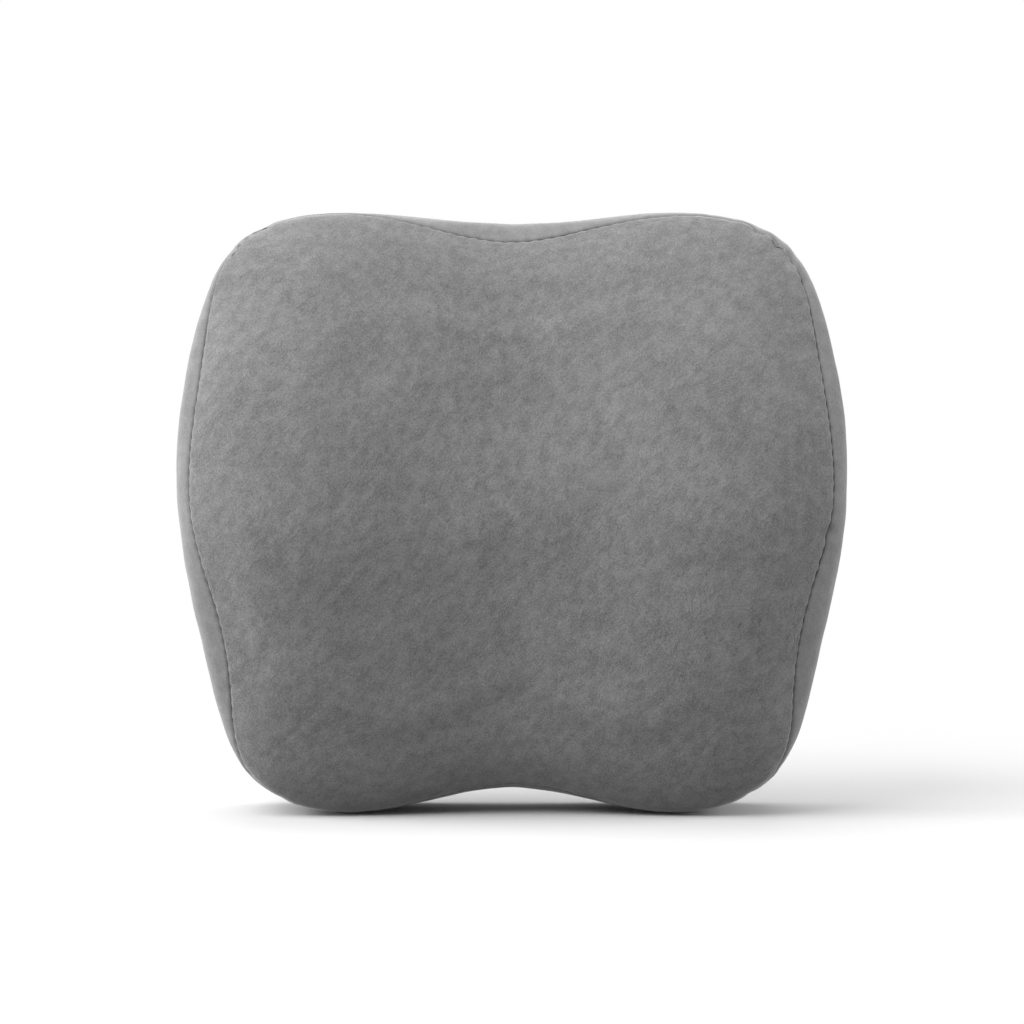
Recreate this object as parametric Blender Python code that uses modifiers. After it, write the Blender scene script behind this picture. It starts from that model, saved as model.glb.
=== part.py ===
"""Lumbar support cushion: saddle-shaped foam in a zipped fabric cover, with a buckled strap behind.

Metres, +Z up. It stands on its two lower lobes, as it does against a chair back: X is the width,
-Y is the side that a back leans on, and +Y is the side with the strap and the zip.
The origin is in the middle of the base of the whole object's box.
"""

import math

import bmesh
import bpy
import numpy as np

# Cushion
WIDTH = 0.350
HEIGHT = 0.321
CENTRE_DEPTH = 0.094        # thickest place on the centre line, from the back face
WING_RISE = 0.020           # how much further forward the two side wings come
WING_X = 0.125              # from the centre line to the crest of a wing
WING_LEFT_AT_EDGE = 0.35    # share of the rise that is left at the top and bottom edges
CREST_Z = 0.190             # height of the thickest place
TOP_EDGE_DEPTH = 0.052
BOTTOM_EDGE_DEPTH = 0.072
CROWN = 0.013               # how far the front face falls back on its way to its seam
CROWN_POWER = 8

# Outline from the front: two lobes above, two below, and the sides drawn in towards the base
TOP_DIP = 0.0064
BOTTOM_ARCH = 0.0142
TOP_LOBE_X = 0.092
BOTTOM_LOBE_X = 0.092
UPPER_CORNER_IN, UPPER_CORNER_DOWN = 0.0296, 0.0151
UPPER_SIDE_IN, UPPER_SIDE_DOWN = 0.0085, 0.0645
WIDEST_Z = 0.168
LOWER_SIDE_IN, LOWER_SIDE_UP = 0.0170, 0.0695
LOWER_CORNER_IN, LOWER_CORNER_UP = 0.0350, 0.0205

# How far inside the outline the front seam lies, at the same places
SEAM_IN_TOP, SEAM_IN_TOP_LOBE, SEAM_IN_UPPER_CORNER = 0.0080, 0.0022, 0.0022
SEAM_IN_UPPER_SIDE, SEAM_IN_WIDEST, SEAM_IN_LOWER_SIDE = 0.0060, 0.0070, 0.0115
SEAM_IN_LOWER_CORNER, SEAM_IN_BOTTOM_LOBE, SEAM_IN_BOTTOM = 0.0030, 0.0022, 0.0070
FRONT_ROLL = 0.009          # depth of the curve from the front seam to the side wall
BACK_ROLL = 0.008           # radius of the back edge
BACK_SEAM_IN = 0.010        # from the outline to the seam around the back panels

POINTS_ROUND = 48
FRONT_RINGS = (0.22, 0.45, 0.66, 0.82, 0.93)
BACK_ROLL_ANGLES = (0, 30, 60)

# Layers
GAP = 0.0003                # between pieces that touch
PANEL_GAP = 0.0006          # between the edges of two sewn panels
COVER_T = 0.0015
LINER_T = 0.0006

# Zip, across the lower part of the back
ZIP_Z = 0.075
ZIP_FOLD_CLEAR = 0.0003     # between a coil and the folded edge of its back panel
ZIP_END_MARGIN = 0.013      # from the side seam to the end of the chain
TAPE_WIDTH = 0.012
TAPE_T = 0.0005
TAPE_END_IN = 0.002         # from the side seam to the tape's end
COIL_WIDTH = 0.0024
COIL_T = 0.0020
COIL_ROUND = 0.0008
STOP_LENGTH = 0.003
STOP_PROUD = 0.0004
SLIDER_LENGTH = 0.011
SLIDER_SIDE = 0.0011        # how far its plates reach past the coils
SLIDER_PLATE_T = 0.0010
SLIDER_WEB_T = 0.0010
SLIDER_WEB_CLEAR = 0.0003   # on each side of the web, between the two coils
BAIL_LENGTH, BAIL_WALL, BAIL_WIDTH = 0.0064, 0.0010, 0.0016
BAIL_OPENING, BAIL_CHAMFER = 0.0020, 0.0006
TAB_LENGTH, TAB_WIDTH, TAB_T, TAB_ROUND = 0.0260, 0.0070, 0.0010, 0.0014
TAB_WINDOW_LENGTH, TAB_WINDOW_CLEAR = 0.0055, 0.0014
TAB_EYE_R = 0.0011

# Strap, across the middle of the back
STRAP_Z = 0.165
STRAP_WIDTH = 0.038
WEBBING_T = 0.0015
STRAP_END_IN = 0.001        # from the side seam to the strap's end
STRAP_FLAT_END = 0.012      # stretch at each end that lies on the cover
STRAP_RAMP = 0.010
FOLD_BACK = 0.024           # stitched end of the fixed strap, past its ramp
BEND_CLEAR = 0.001          # the webbing leaves a bar this far past it
TAIL_END_X = -0.100
KEEPER_X, KEEPER_LENGTH, KEEPER_T = -0.075, 0.008, 0.0006

# Side-release buckle
BUCKLE_T = 0.011
BUCKLE_GAP = 0.0004         # between the buckle and the cover
BUCKLE_WALL = 0.002
PLUG_CLEAR = 0.001          # above and below the plug inside the socket
BAR = 0.004
BAR_SLOT_CLEAR = 0.0033     # slot beside a bar, over the webbing's thickness
RAIL = 0.0026               # side rails beside the strap's slots
STRAP_SIDE_CLEAR = 0.0009   # between the webbing's edge and a rail
FLANGE = 0.0117
TONGUE_LENGTH, TONGUE_WIDTH = 0.018, 0.010
BUCKLE_FILLET = 0.0015

# Latch arms: x is from the socket's mouth, and each arm bends about a line at its root
ARM_ROOT_R, ROOT_STEPS = 0.0015, 6
ARM_REACH = 0.0083          # from that line to the buckle's side
ARM_TIP_X = 0.0245
ARM_SHOULDER_X = 0.0118
ARM_PROUD = 0.0001          # how far the pressing faces stand out of the socket
ARM_WAIST_IN = 0.0006       # how far inside that line the arm's inner edge starts
ARM_TIP_BEVEL = ((0.0015, 0.0006), (0.0, 0.0018))   # back from the tip, out from that line
ARM_TIP_CLEAR, ARM_TIP_ROUND = 0.0014, 0.0010       # inside the cavity's wall, back from the tip
ARM_SLOPE = ((0.0040, 0.0020), (0.0078, 0.0004))    # back from the tip, in from the pressing face
ARM_HEAD_ROUND = (0.0012, 0.0008)
ARM_SHOULDER_ROUND = 0.0006
WINDOW_CLEAR = 0.0006       # between the arm's shoulder and the socket's window
WINDOW_SHORT = 0.0013       # how far the window stops short of the arm's tip
ARM_END_CLEAR = 0.002       # between the arm's tip and the cavity's end
SOCKET_END_WALL = 0.003

# Care label, sewn in at the lower edge of the back
LABEL_FROM_SIDE, LABEL_Z = 0.087, 0.036
LABEL_WIDTH, LABEL_HEIGHT, LABEL_T = 0.022, 0.034, 0.0004

# Sizes that follow from the ones above
CHANNEL = SLIDER_WEB_T + 2 * SLIDER_WEB_CLEAR       # between the two coils
ZIP_SLOT = CHANNEL + 2 * (COIL_WIDTH + ZIP_FOLD_CLEAR)
SLIDER_WIDTH = CHANNEL + 2 * (COIL_WIDTH + SLIDER_SIDE)
TAB_WINDOW_WIDTH = BAIL_WIDTH + 2 * TAB_WINDOW_CLEAR
BAR_SLOT = WEBBING_T + BAR_SLOT_CLEAR
BUCKLE_WIDTH = STRAP_WIDTH + 2 * (STRAP_SIDE_CLEAR + RAIL)
PLUG_T = BUCKLE_T - 2 * (BUCKLE_WALL + PLUG_CLEAR)  # the plug's tongue, arms and bars
ARM_PIVOT_Z = BUCKLE_WIDTH / 2 - ARM_REACH
CAVITY_DEPTH = ARM_TIP_X + ARM_END_CLEAR
SOCKET_BODY = CAVITY_DEPTH + SOCKET_END_WALL        # from the mouth to the strap's slot
WINDOW_START, WINDOW_END = ARM_SHOULDER_X - WINDOW_CLEAR, ARM_TIP_X - WINDOW_SHORT
STACK = BUCKLE_GAP + BUCKLE_T
BACK_Y = (CENTRE_DEPTH + WING_RISE - STACK) / 2     # plane of the back panels

FINISHES = {
    "pile": ((0.30, 0.30, 0.31), 0.95, 0.0),
    "gusset_pile": ((0.33, 0.33, 0.34), 0.95, 0.0),
    "back_mesh": ((0.24, 0.24, 0.25), 0.90, 0.0),
    "liner": ((0.85, 0.85, 0.82), 0.90, 0.0),
    "foam": ((0.90, 0.87, 0.76), 0.95, 0.0),
    "zip_tape": ((0.20, 0.20, 0.21), 0.85, 0.0),
    "zip_coil": ((0.16, 0.16, 0.17), 0.45, 0.0),
    "zip_metal": ((0.55, 0.55, 0.56), 0.35, 1.0),
    "webbing": ((0.05, 0.05, 0.055), 0.80, 0.0),
    "buckle": ((0.03, 0.03, 0.032), 0.40, 0.0),
    "label": ((0.90, 0.90, 0.88), 0.60, 0.0),
}


SMOOTH_ANGLE = math.radians(50)     # edges sharper than this stay sharp in the shading
BEVEL_ANGLE = math.radians(40)      # edges sharper than this are rounded
MESH_GRID = 1e-6


def clear_scene():
    for obj in list(bpy.data.objects):
        bpy.data.objects.remove(obj, do_unlink=True)


def new_collection(name):
    collection = bpy.data.collections.new(name)
    bpy.context.scene.collection.children.link(collection)
    return collection


def make_material(name, finish):
    colour, roughness, metallic = FINISHES[finish]
    material = bpy.data.materials.new(name)
    material.use_nodes = True
    shader = material.node_tree.nodes["Principled BSDF"]
    shader.inputs["Base Color"].default_value = (*colour, 1.0)
    shader.inputs["Roughness"].default_value = roughness
    shader.inputs["Metallic"].default_value = metallic
    material.diffuse_color = (*colour, 1.0)
    return material


def add_object(name, data, collection, finish=None, location=(0.0, 0.0, 0.0)):
    """Puts new data in the scene, with a material of its own when it has a finish."""
    obj = bpy.data.objects.new(name, data)
    obj.location = location
    collection.objects.link(obj)
    if finish:
        data.materials.append(make_material(name, finish))
    return obj


def mesh_object(name, bm, collection, finish=None, location=(0.0, 0.0, 0.0), smooth=False):
    mesh = bpy.data.meshes.new(name)
    bm.to_mesh(mesh)
    bm.free()
    if smooth:
        mesh.shade_smooth()
        mesh.set_sharp_from_angle(angle=SMOOTH_ANGLE)
    return add_object(name, mesh, collection, finish, location)


def box(name, low, high, collection, finish=None, origin=(0.0, 0.0, 0.0)):
    """An upright box between two corners, which are given from the origin."""
    bm = bmesh.new()
    bmesh.ops.create_cube(bm, size=1.0)
    for vert in bm.verts:
        for axis in range(3):
            share = vert.co[axis] + 0.5
            vert.co[axis] = low[axis] + (high[axis] - low[axis]) * share
    return mesh_object(name, bm, collection, finish, origin)


# For each plane, where a 2D curve's own X, Y and extrusion go in the world.
PLANES = {
    "XY": (0.0, 0.0, 0.0),
    "XZ": (math.pi / 2, 0.0, 0.0),
    "YZ": (math.pi / 2, 0.0, math.pi / 2),
}


def extruded(name, loops, thickness, plane, collection, finish=None, location=(0.0, 0.0, 0.0)):
    """A flat outline, with any holes as further loops, with its thickness centred on the location."""
    curve = bpy.data.curves.new(name, "CURVE")
    curve.dimensions = "2D"
    curve.fill_mode = "BOTH"
    curve.extrude = thickness / 2
    for loop in loops:
        spline = curve.splines.new("POLY")
        spline.points.add(len(loop) - 1)
        for point, (across, along) in zip(spline.points, loop):
            point.co = (across, along, 0.0, 1.0)
        spline.use_cyclic_u = True
    obj = add_object(name, curve, collection, finish, location)
    obj.rotation_euler = PLANES[plane]
    return obj


def as_mesh(curve_obj):
    """The curve object made into a mesh object of the same name, with its caps welded to its sides.
    Its turn goes into the mesh, to the grid, so that faces meant to lie in one plane do."""
    bpy.context.view_layer.update()
    graph = bpy.context.evaluated_depsgraph_get()
    mesh = bpy.data.meshes.new_from_object(curve_obj.evaluated_get(graph))
    mesh.transform(curve_obj.rotation_euler.to_matrix().to_4x4())
    bm = bmesh.new()
    bm.from_mesh(mesh)
    bmesh.ops.remove_doubles(bm, verts=bm.verts, dist=MESH_GRID)
    for vert in bm.verts:
        vert.co = [round(value / MESH_GRID) * MESH_GRID for value in vert.co]
    bmesh.ops.recalc_face_normals(bm, faces=bm.faces)
    bm.to_mesh(mesh)
    bm.free()
    name, collection = curve_obj.name, curve_obj.users_collection[0]
    location = curve_obj.location.copy()
    bpy.data.objects.remove(curve_obj, do_unlink=True)
    obj = bpy.data.objects.new(name, mesh)
    collection.objects.link(obj)
    obj.location = location
    return obj


def combine(target, other, operation):
    """Joins or cuts the target with a helper, which stays in the scene as a hidden wire shape."""
    other.hide_render = True
    other.display_type = "WIRE"
    modifier = target.modifiers.new(operation.title() + " " + other.name, "BOOLEAN")
    modifier.operation = operation
    modifier.object = other


def attach(child, parent):
    """Parents an object without moving it."""
    bpy.context.view_layer.update()
    child.parent = parent
    child.matrix_parent_inverse = parent.matrix_world.inverted()


def round_edges(obj, width, segments=2):
    modifier = obj.modifiers.new("Round edges", "BEVEL")
    modifier.width = width
    modifier.segments = segments
    modifier.limit_method = "ANGLE"
    modifier.angle_limit = BEVEL_ANGLE


def rectangle(low, high):
    return [(low[0], low[1]), (high[0], low[1]), (high[0], high[1]), (low[0], high[1])]


def filleted(points, radius, steps=3):
    """The closed outline with every corner rounded, by no more than its edges leave room for."""
    result = []
    for i, corner in enumerate(points):
        corner = np.array(corner)
        ahead = np.array(points[(i + 1) % len(points)]) - corner
        behind = np.array(points[i - 1]) - corner
        room = min(np.linalg.norm(ahead), np.linalg.norm(behind)) / 2
        ahead, behind = ahead / np.linalg.norm(ahead), behind / np.linalg.norm(behind)
        half = math.acos(max(-1.0, min(1.0, float(ahead @ behind)))) / 2
        back_off = min(radius / math.tan(half), room * 0.98)
        start, end = corner + behind * back_off, corner + ahead * back_off
        for step in range(steps + 1):
            t = step / steps
            result.append(tuple((1 - t) ** 2 * start + 2 * t * (1 - t) * corner + t * t * end))
    return result


def circle(centre, radius, count=10):
    angles = [2 * math.pi * i / count for i in range(count)]
    return [(centre[0] + radius * math.cos(a), centre[1] + radius * math.sin(a)) for a in angles]


def strip(path, thickness):
    """The outline of a band of even thickness along an open path."""
    path = [np.array(point, float) for point in path]
    left, right = [], []
    for i, point in enumerate(path):
        before = point - path[i - 1] if i else path[1] - point
        after = path[i + 1] - point if i + 1 < len(path) else before
        before, after = before / np.linalg.norm(before), after / np.linalg.norm(after)
        mitre = before + after
        mitre = mitre / np.linalg.norm(mitre)
        normal = np.array((-mitre[1], mitre[0]))
        reach = thickness / 2 / float(mitre @ before)
        left.append(tuple(point + normal * reach))
        right.append(tuple(point - normal * reach))
    return right + left[::-1]


# ---- the cushion's form ----

def closed_curve(points, count):
    """Evenly spaced points on the smooth closed curve (a periodic cubic spline) through the given ones."""
    points = np.array(points, float)
    steps = np.linalg.norm((np.roll(points, -1, axis=0) - points)[:, :2], axis=1)
    size = len(points)
    system, wanted = np.zeros((size, size)), np.zeros_like(points)
    for i in range(size):
        before, after = steps[i - 1], steps[i]
        system[i, i - 1] += after
        system[i, i] += 2 * (before + after)
        system[i, (i + 1) % size] += before
        rise_before = (points[i] - points[i - 1]) / before
        rise_after = (points[(i + 1) % size] - points[i]) / after
        wanted[i] = 3 * (after * rise_before + before * rise_after)
    slopes = np.linalg.solve(system, wanted)
    fine = []
    for i in range(size):
        j = (i + 1) % size
        for t in np.linspace(0, 1, 64, endpoint=False):
            fine.append(
                (2 * t**3 - 3 * t**2 + 1) * points[i] + (3 * t**2 - 2 * t**3) * points[j]
                + steps[i] * ((t**3 - 2 * t**2 + t) * slopes[i] + (t**3 - t**2) * slopes[j])
            )
    fine = np.array(fine)
    lengths = np.linalg.norm((np.roll(fine, -1, axis=0) - fine)[:, :2], axis=1)
    travel = np.concatenate([[0], np.cumsum(lengths)])
    fine = np.vstack([fine, fine[:1]])
    wanted_at = np.linspace(0, travel[-1], count, endpoint=False)
    return np.stack([np.interp(wanted_at, travel, fine[:, k]) for k in range(points.shape[1])], axis=1)


def outline_points():
    """Points round the widest section, from the top centre clockwise as seen from the front: x, z and
    how far inside them the front seam lies."""
    side = WIDTH / 2
    half = [
        (TOP_LOBE_X, HEIGHT, SEAM_IN_TOP_LOBE),
        (side - UPPER_CORNER_IN, HEIGHT - UPPER_CORNER_DOWN, SEAM_IN_UPPER_CORNER),
        (side - UPPER_SIDE_IN, HEIGHT - UPPER_SIDE_DOWN, SEAM_IN_UPPER_SIDE),
        (side, WIDEST_Z, SEAM_IN_WIDEST),
        (side - LOWER_SIDE_IN, LOWER_SIDE_UP, SEAM_IN_LOWER_SIDE),
        (side - LOWER_CORNER_IN, LOWER_CORNER_UP, SEAM_IN_LOWER_CORNER),
        (BOTTOM_LOBE_X, 0.0, SEAM_IN_BOTTOM_LOBE),
    ]
    other_half = [(-x, z, inset) for x, z, inset in reversed(half)]
    top, bottom = (0.0, HEIGHT - TOP_DIP, SEAM_IN_TOP), (0.0, BOTTOM_ARCH, SEAM_IN_BOTTOM)
    points = closed_curve([top, *half, bottom, *other_half], POINTS_ROUND)
    points[:, 0] *= side / points[:, 0].max()
    lowest, highest = points[:, 1].min(), points[:, 1].max()
    points[:, 1] = (points[:, 1] - lowest) * HEIGHT / (highest - lowest)
    return points


def outward(outline):
    """Unit normals of the outline, in its own plane."""
    along = np.roll(outline[:, :2], -1, axis=0) - np.roll(outline[:, :2], 1, axis=0)
    normals = np.stack([-along[:, 1], along[:, 0]], axis=1)
    return normals / np.linalg.norm(normals, axis=1, keepdims=True)


def thickness(x, z):
    """From the back face to the front face, before it falls back to its seam."""
    reach = np.where(z > CREST_Z, HEIGHT - CREST_Z, CREST_Z)
    edge = np.where(z > CREST_Z, TOP_EDGE_DEPTH, BOTTOM_EDGE_DEPTH)
    away = (z - CREST_Z) / reach
    middle = CENTRE_DEPTH - (CENTRE_DEPTH - edge) * away**2
    rise = WING_RISE * (1 - (1 - WING_LEFT_AT_EDGE) * away**2)
    out = np.clip(np.abs(x) / WING_X, 0, 1)
    return middle + rise * out**2 * (3 - 2 * out)


def ring(outline, normals, inset, depth):
    """Points of the outline drawn in by the inset, at a depth in front of the back face."""
    flat = outline[:, :2] - normals * np.broadcast_to(inset, len(outline))[:, None]
    deep = np.broadcast_to(depth, len(outline))
    return np.stack([flat[:, 0], BACK_Y - deep, flat[:, 1]], axis=1)


def skin_rings():
    """The cover's outer face as rings from the middle of the front, over the edge, to the back seam."""
    outline = outline_points()
    normals = outward(outline)
    seam_in = outline[:, 2]
    front_edge = ring(outline, normals, seam_in, 0.0)
    middle_z = HEIGHT / 2
    seam_depth = thickness(front_edge[:, 0], front_edge[:, 2]) - CROWN
    rings = []
    for share in FRONT_RINGS:
        x = front_edge[:, 0] * share
        z = middle_z + (front_edge[:, 2] - middle_z) * share
        depth = thickness(x, z) - CROWN * share**CROWN_POWER
        rings.append(np.stack([x, BACK_Y - depth, z], axis=1))
    rings.append(ring(outline, normals, seam_in, seam_depth))
    turn = 1 - math.sqrt(0.5)
    rings.append(ring(outline, normals, seam_in * turn, seam_depth - FRONT_ROLL * turn))
    rings.append(ring(outline, normals, 0.0, seam_depth - FRONT_ROLL))
    rings.append(ring(outline, normals, 0.0, (seam_depth - FRONT_ROLL + BACK_ROLL) / 2))
    for angle in map(math.radians, BACK_ROLL_ANGLES):
        inset, depth = BACK_ROLL * (1 - math.cos(angle)), BACK_ROLL * (1 - math.sin(angle))
        rings.append(ring(outline, normals, inset, depth))
    rings.append(ring(outline, normals, BACK_SEAM_IN, 0.0))
    rings = np.array(rings)
    wings_y = rings[:, :, 1].min()
    reach = (CENTRE_DEPTH + WING_RISE) / (BACK_Y - wings_y)
    rings[:, :, 1] = BACK_Y + (rings[:, :, 1] - BACK_Y) * reach
    return rings


FRONT_SEAM = len(FRONT_RINGS)       # index of the front seam's ring
WAIST = FRONT_SEAM + 3              # half way along the side wall
PAST_BACK_SEAM = 0.05               # share of the way to the middle, for the back edge's normals


def skin_normals(rings):
    """Outward unit normals of the skin at every point of its rings."""
    around = np.roll(rings, -1, axis=1) - np.roll(rings, 1, axis=1)
    front_middle = np.broadcast_to(rings[0].mean(axis=0), rings[:1].shape)
    past_back_seam = rings[-1:] + ((0.0, BACK_Y, HEIGHT / 2) - rings[-1:]) * PAST_BACK_SEAM
    padded = np.concatenate([front_middle, rings, past_back_seam])
    along = padded[2:] - padded[:-2]
    normals = np.cross(around, along)
    normals /= np.linalg.norm(normals, axis=2, keepdims=True)
    inside = np.array((0.0, BACK_Y - CENTRE_DEPTH / 2, HEIGHT / 2))
    if ((rings - inside) * normals).sum() < 0:
        normals = -normals
    return normals


def layer(rings, normals, offset, back_clear=0.0):
    """The skin moved inwards by an offset, and kept at least back_clear in front of the back face."""
    moved = rings - normals * offset
    moved[:, :, 1] = np.minimum(moved[:, :, 1], BACK_Y - back_clear)
    return moved


def drawn_in(rings, first, last):
    """A copy of the rings from first to last, with each end that is a sewn edge drawn back a little."""
    part = rings[first:last + 1].copy()
    for edge, beside, sewn in ((0, 1, first > 0), (-1, -2, last < len(rings))):
        if sewn:
            back = part[beside] - part[edge]
            part[edge] += back / np.linalg.norm(back, axis=1, keepdims=True) * PANEL_GAP / 2
    return part


def loft(name, outer, inner, collection, finish, ends):
    """A shell between two sets of rings. ends says whether the first rings are closed over as a
    dome ("first"), the last ones are ("last"), or both are open edges ("open")."""
    outer, inner = list(outer), list(inner)
    if ends == "last":
        sequence = outer[::-1] + inner
        kinds = [False] * (len(outer) - 1) + [True] * len(inner)
    elif ends == "first":
        sequence = outer + inner[::-1]
        kinds = [True] * len(outer) + [False] * (len(inner) - 1)
    else:
        sequence = outer + inner[::-1]
        kinds = [True] * len(outer) + [False] * len(inner)
    bm = bmesh.new()
    loops = [[bm.verts.new(point) for point in points] for points in sequence]
    count = len(loops[0])
    pairs = list(zip(loops, loops[1:]))
    if ends == "open":
        pairs.append((loops[-1], loops[0]))
    for (one, two), forward in zip(pairs, kinds):
        for i in range(count):
            j = (i + 1) % count
            if forward:
                bm.faces.new((one[i], one[j], two[j]))
                bm.faces.new((one[i], two[j], two[i]))
            else:
                bm.faces.new((one[i], one[j], two[i]))
                bm.faces.new((one[j], two[j], two[i]))
    if ends != "open":
        caps = [bm.faces.new(loops[0]), bm.faces.new(loops[-1])]
        bmesh.ops.poke(bm, faces=caps)
    bmesh.ops.recalc_face_normals(bm, faces=bm.faces)
    return mesh_object(name, bm, collection, finish, smooth=True)


def filled(name, rings, collection, finish):
    """A solid through all the rings, closed at both ends."""
    bm = bmesh.new()
    loops = [[bm.verts.new(point) for point in points] for points in rings]
    for one, two in zip(loops, loops[1:]):
        for i in range(len(one)):
            j = (i + 1) % len(one)
            bm.faces.new((one[i], one[j], two[j]))
            bm.faces.new((one[i], two[j], two[i]))
    bmesh.ops.poke(bm, faces=[bm.faces.new(loops[0]), bm.faces.new(loops[-1])])
    bmesh.ops.recalc_face_normals(bm, faces=bm.faces)
    return mesh_object(name, bm, collection, finish, smooth=True)


def cover_clearance():
    """Depth behind the back face that the cover, the zip and the slider's lower plate take up."""
    return COVER_T + GAP + TAPE_T + GAP + SLIDER_PLATE_T + GAP


def build_cushion(parts, rings, normals):
    clear = cover_clearance()
    liner_out, liner_in = COVER_T + GAP, COVER_T + GAP + LINER_T
    foam_out = liner_in + GAP
    filled("foam_core", layer(rings, normals, foam_out, clear + LINER_T + GAP), parts, "foam")
    liner_outer = layer(rings, normals, liner_out, clear)
    liner_inner = layer(rings, normals, liner_in, clear + LINER_T)
    front = [drawn_in(side, 0, WAIST) for side in (liner_outer, liner_inner)]
    back = [drawn_in(side, WAIST, len(rings)) for side in (liner_outer, liner_inner)]
    loft("liner_front", *front, parts, "liner", "first")
    loft("liner_back", *back, parts, "liner", "last")
    cover_outer, cover_inner = rings, layer(rings, normals, COVER_T)
    front = [drawn_in(side, 0, FRONT_SEAM) for side in (cover_outer, cover_inner)]
    loft("cover_front_panel", *front, parts, "pile", "first")
    sides = [drawn_in(side, FRONT_SEAM, len(rings) - 1) for side in (cover_outer, cover_inner)]
    loft("cover_gusset", *sides, parts, "gusset_pile", "open")


def back_outline(rings, inset):
    """The back seam's outline in x and z, drawn in by an inset."""
    flat = rings[-1][:, (0, 2)]
    return flat - outward(flat) * inset


def half_width(outline, z):
    """How far out the outline reaches at a height."""
    reach = 0.0
    for one, two in zip(outline, np.roll(outline, -1, axis=0)):
        if (one[1] - z) * (two[1] - z) <= 0 and one[1] != two[1]:
            reach = max(reach, abs(one[0] + (two[0] - one[0]) * (z - one[1]) / (two[1] - one[1])))
    return reach


def clipped(outline, z, above):
    """The part of an outline above or below a height."""
    sign = 1 if above else -1
    result = []
    for one, two in zip(outline, np.roll(outline, -1, axis=0)):
        if sign * (one[1] - z) > 0:
            result.append(tuple(one))
        if (one[1] - z) * (two[1] - z) < 0:
            share = (z - one[1]) / (two[1] - one[1])
            result.append((one[0] + (two[0] - one[0]) * share, z))
    return result


def build_back_panels(parts, rings):
    outline = back_outline(rings, PANEL_GAP / 2)
    middle = BACK_Y - COVER_T / 2
    for name, above in (("back_panel_upper", True), ("back_panel_lower", False)):
        edge = ZIP_Z + ZIP_SLOT / 2 * (1 if above else -1)
        loops = [clipped(outline, edge, above)]
        extruded(name, loops, COVER_T, "XZ", parts, "back_mesh", (0.0, middle, 0.0))


# ---- the zip ----

def build_zip(parts, helpers, rings):
    seam_x = half_width(back_outline(rings, 0.0), ZIP_Z)
    chain_end = seam_x - ZIP_END_MARGIN
    coil_end = chain_end - STOP_LENGTH - GAP
    tape_y = BACK_Y - COVER_T - GAP - TAPE_T / 2
    coil_y = BACK_Y - COVER_T + COIL_T / 2
    tape = half_width(back_outline(rings, 0.0), ZIP_Z - CHANNEL / 2 - TAPE_WIDTH) - TAPE_END_IN
    for name, side in (("upper", 1), ("lower", -1)):
        inner, outer = side * CHANNEL / 2, side * (CHANNEL / 2 + TAPE_WIDTH)
        low, high = sorted((inner, outer))
        at = (0.0, tape_y, ZIP_Z)
        extruded("zip_tape_" + name, [rectangle((-tape, low), (tape, high))], TAPE_T, "XZ",
                 parts, "zip_tape", at)
        middle = side * (CHANNEL + COIL_WIDTH) / 2
        section = filleted(rectangle((-COIL_T / 2, -COIL_WIDTH / 2), (COIL_T / 2, COIL_WIDTH / 2)),
                           COIL_ROUND, 2)
        extruded("zip_coil_" + name, [section], 2 * coil_end, "YZ", parts, "zip_coil",
                 (0.0, coil_y, ZIP_Z + middle))
        build_stop("zip_top_stop_" + name, parts, chain_end - STOP_LENGTH, ZIP_Z + middle, COIL_WIDTH)
    build_stop("zip_bottom_stop", parts, -chain_end, ZIP_Z, CHANNEL + 2 * COIL_WIDTH)
    slider_x = coil_end - SLIDER_LENGTH / 2
    build_slider(parts, helpers, slider_x)


def build_stop(name, parts, start_x, middle_z, width):
    """A crimped stop on the tape, a little prouder than the coil."""
    low_y, high_y = BACK_Y - COVER_T, BACK_Y - COVER_T + COIL_T + STOP_PROUD
    middle = (start_x + STOP_LENGTH / 2, (low_y + high_y) / 2, middle_z)
    half = (STOP_LENGTH / 2, (high_y - low_y) / 2, width / 2)
    stop = box(name, [-h for h in half], half, parts, "zip_metal", middle)
    round_edges(stop, STOP_PROUD, 1)


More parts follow.
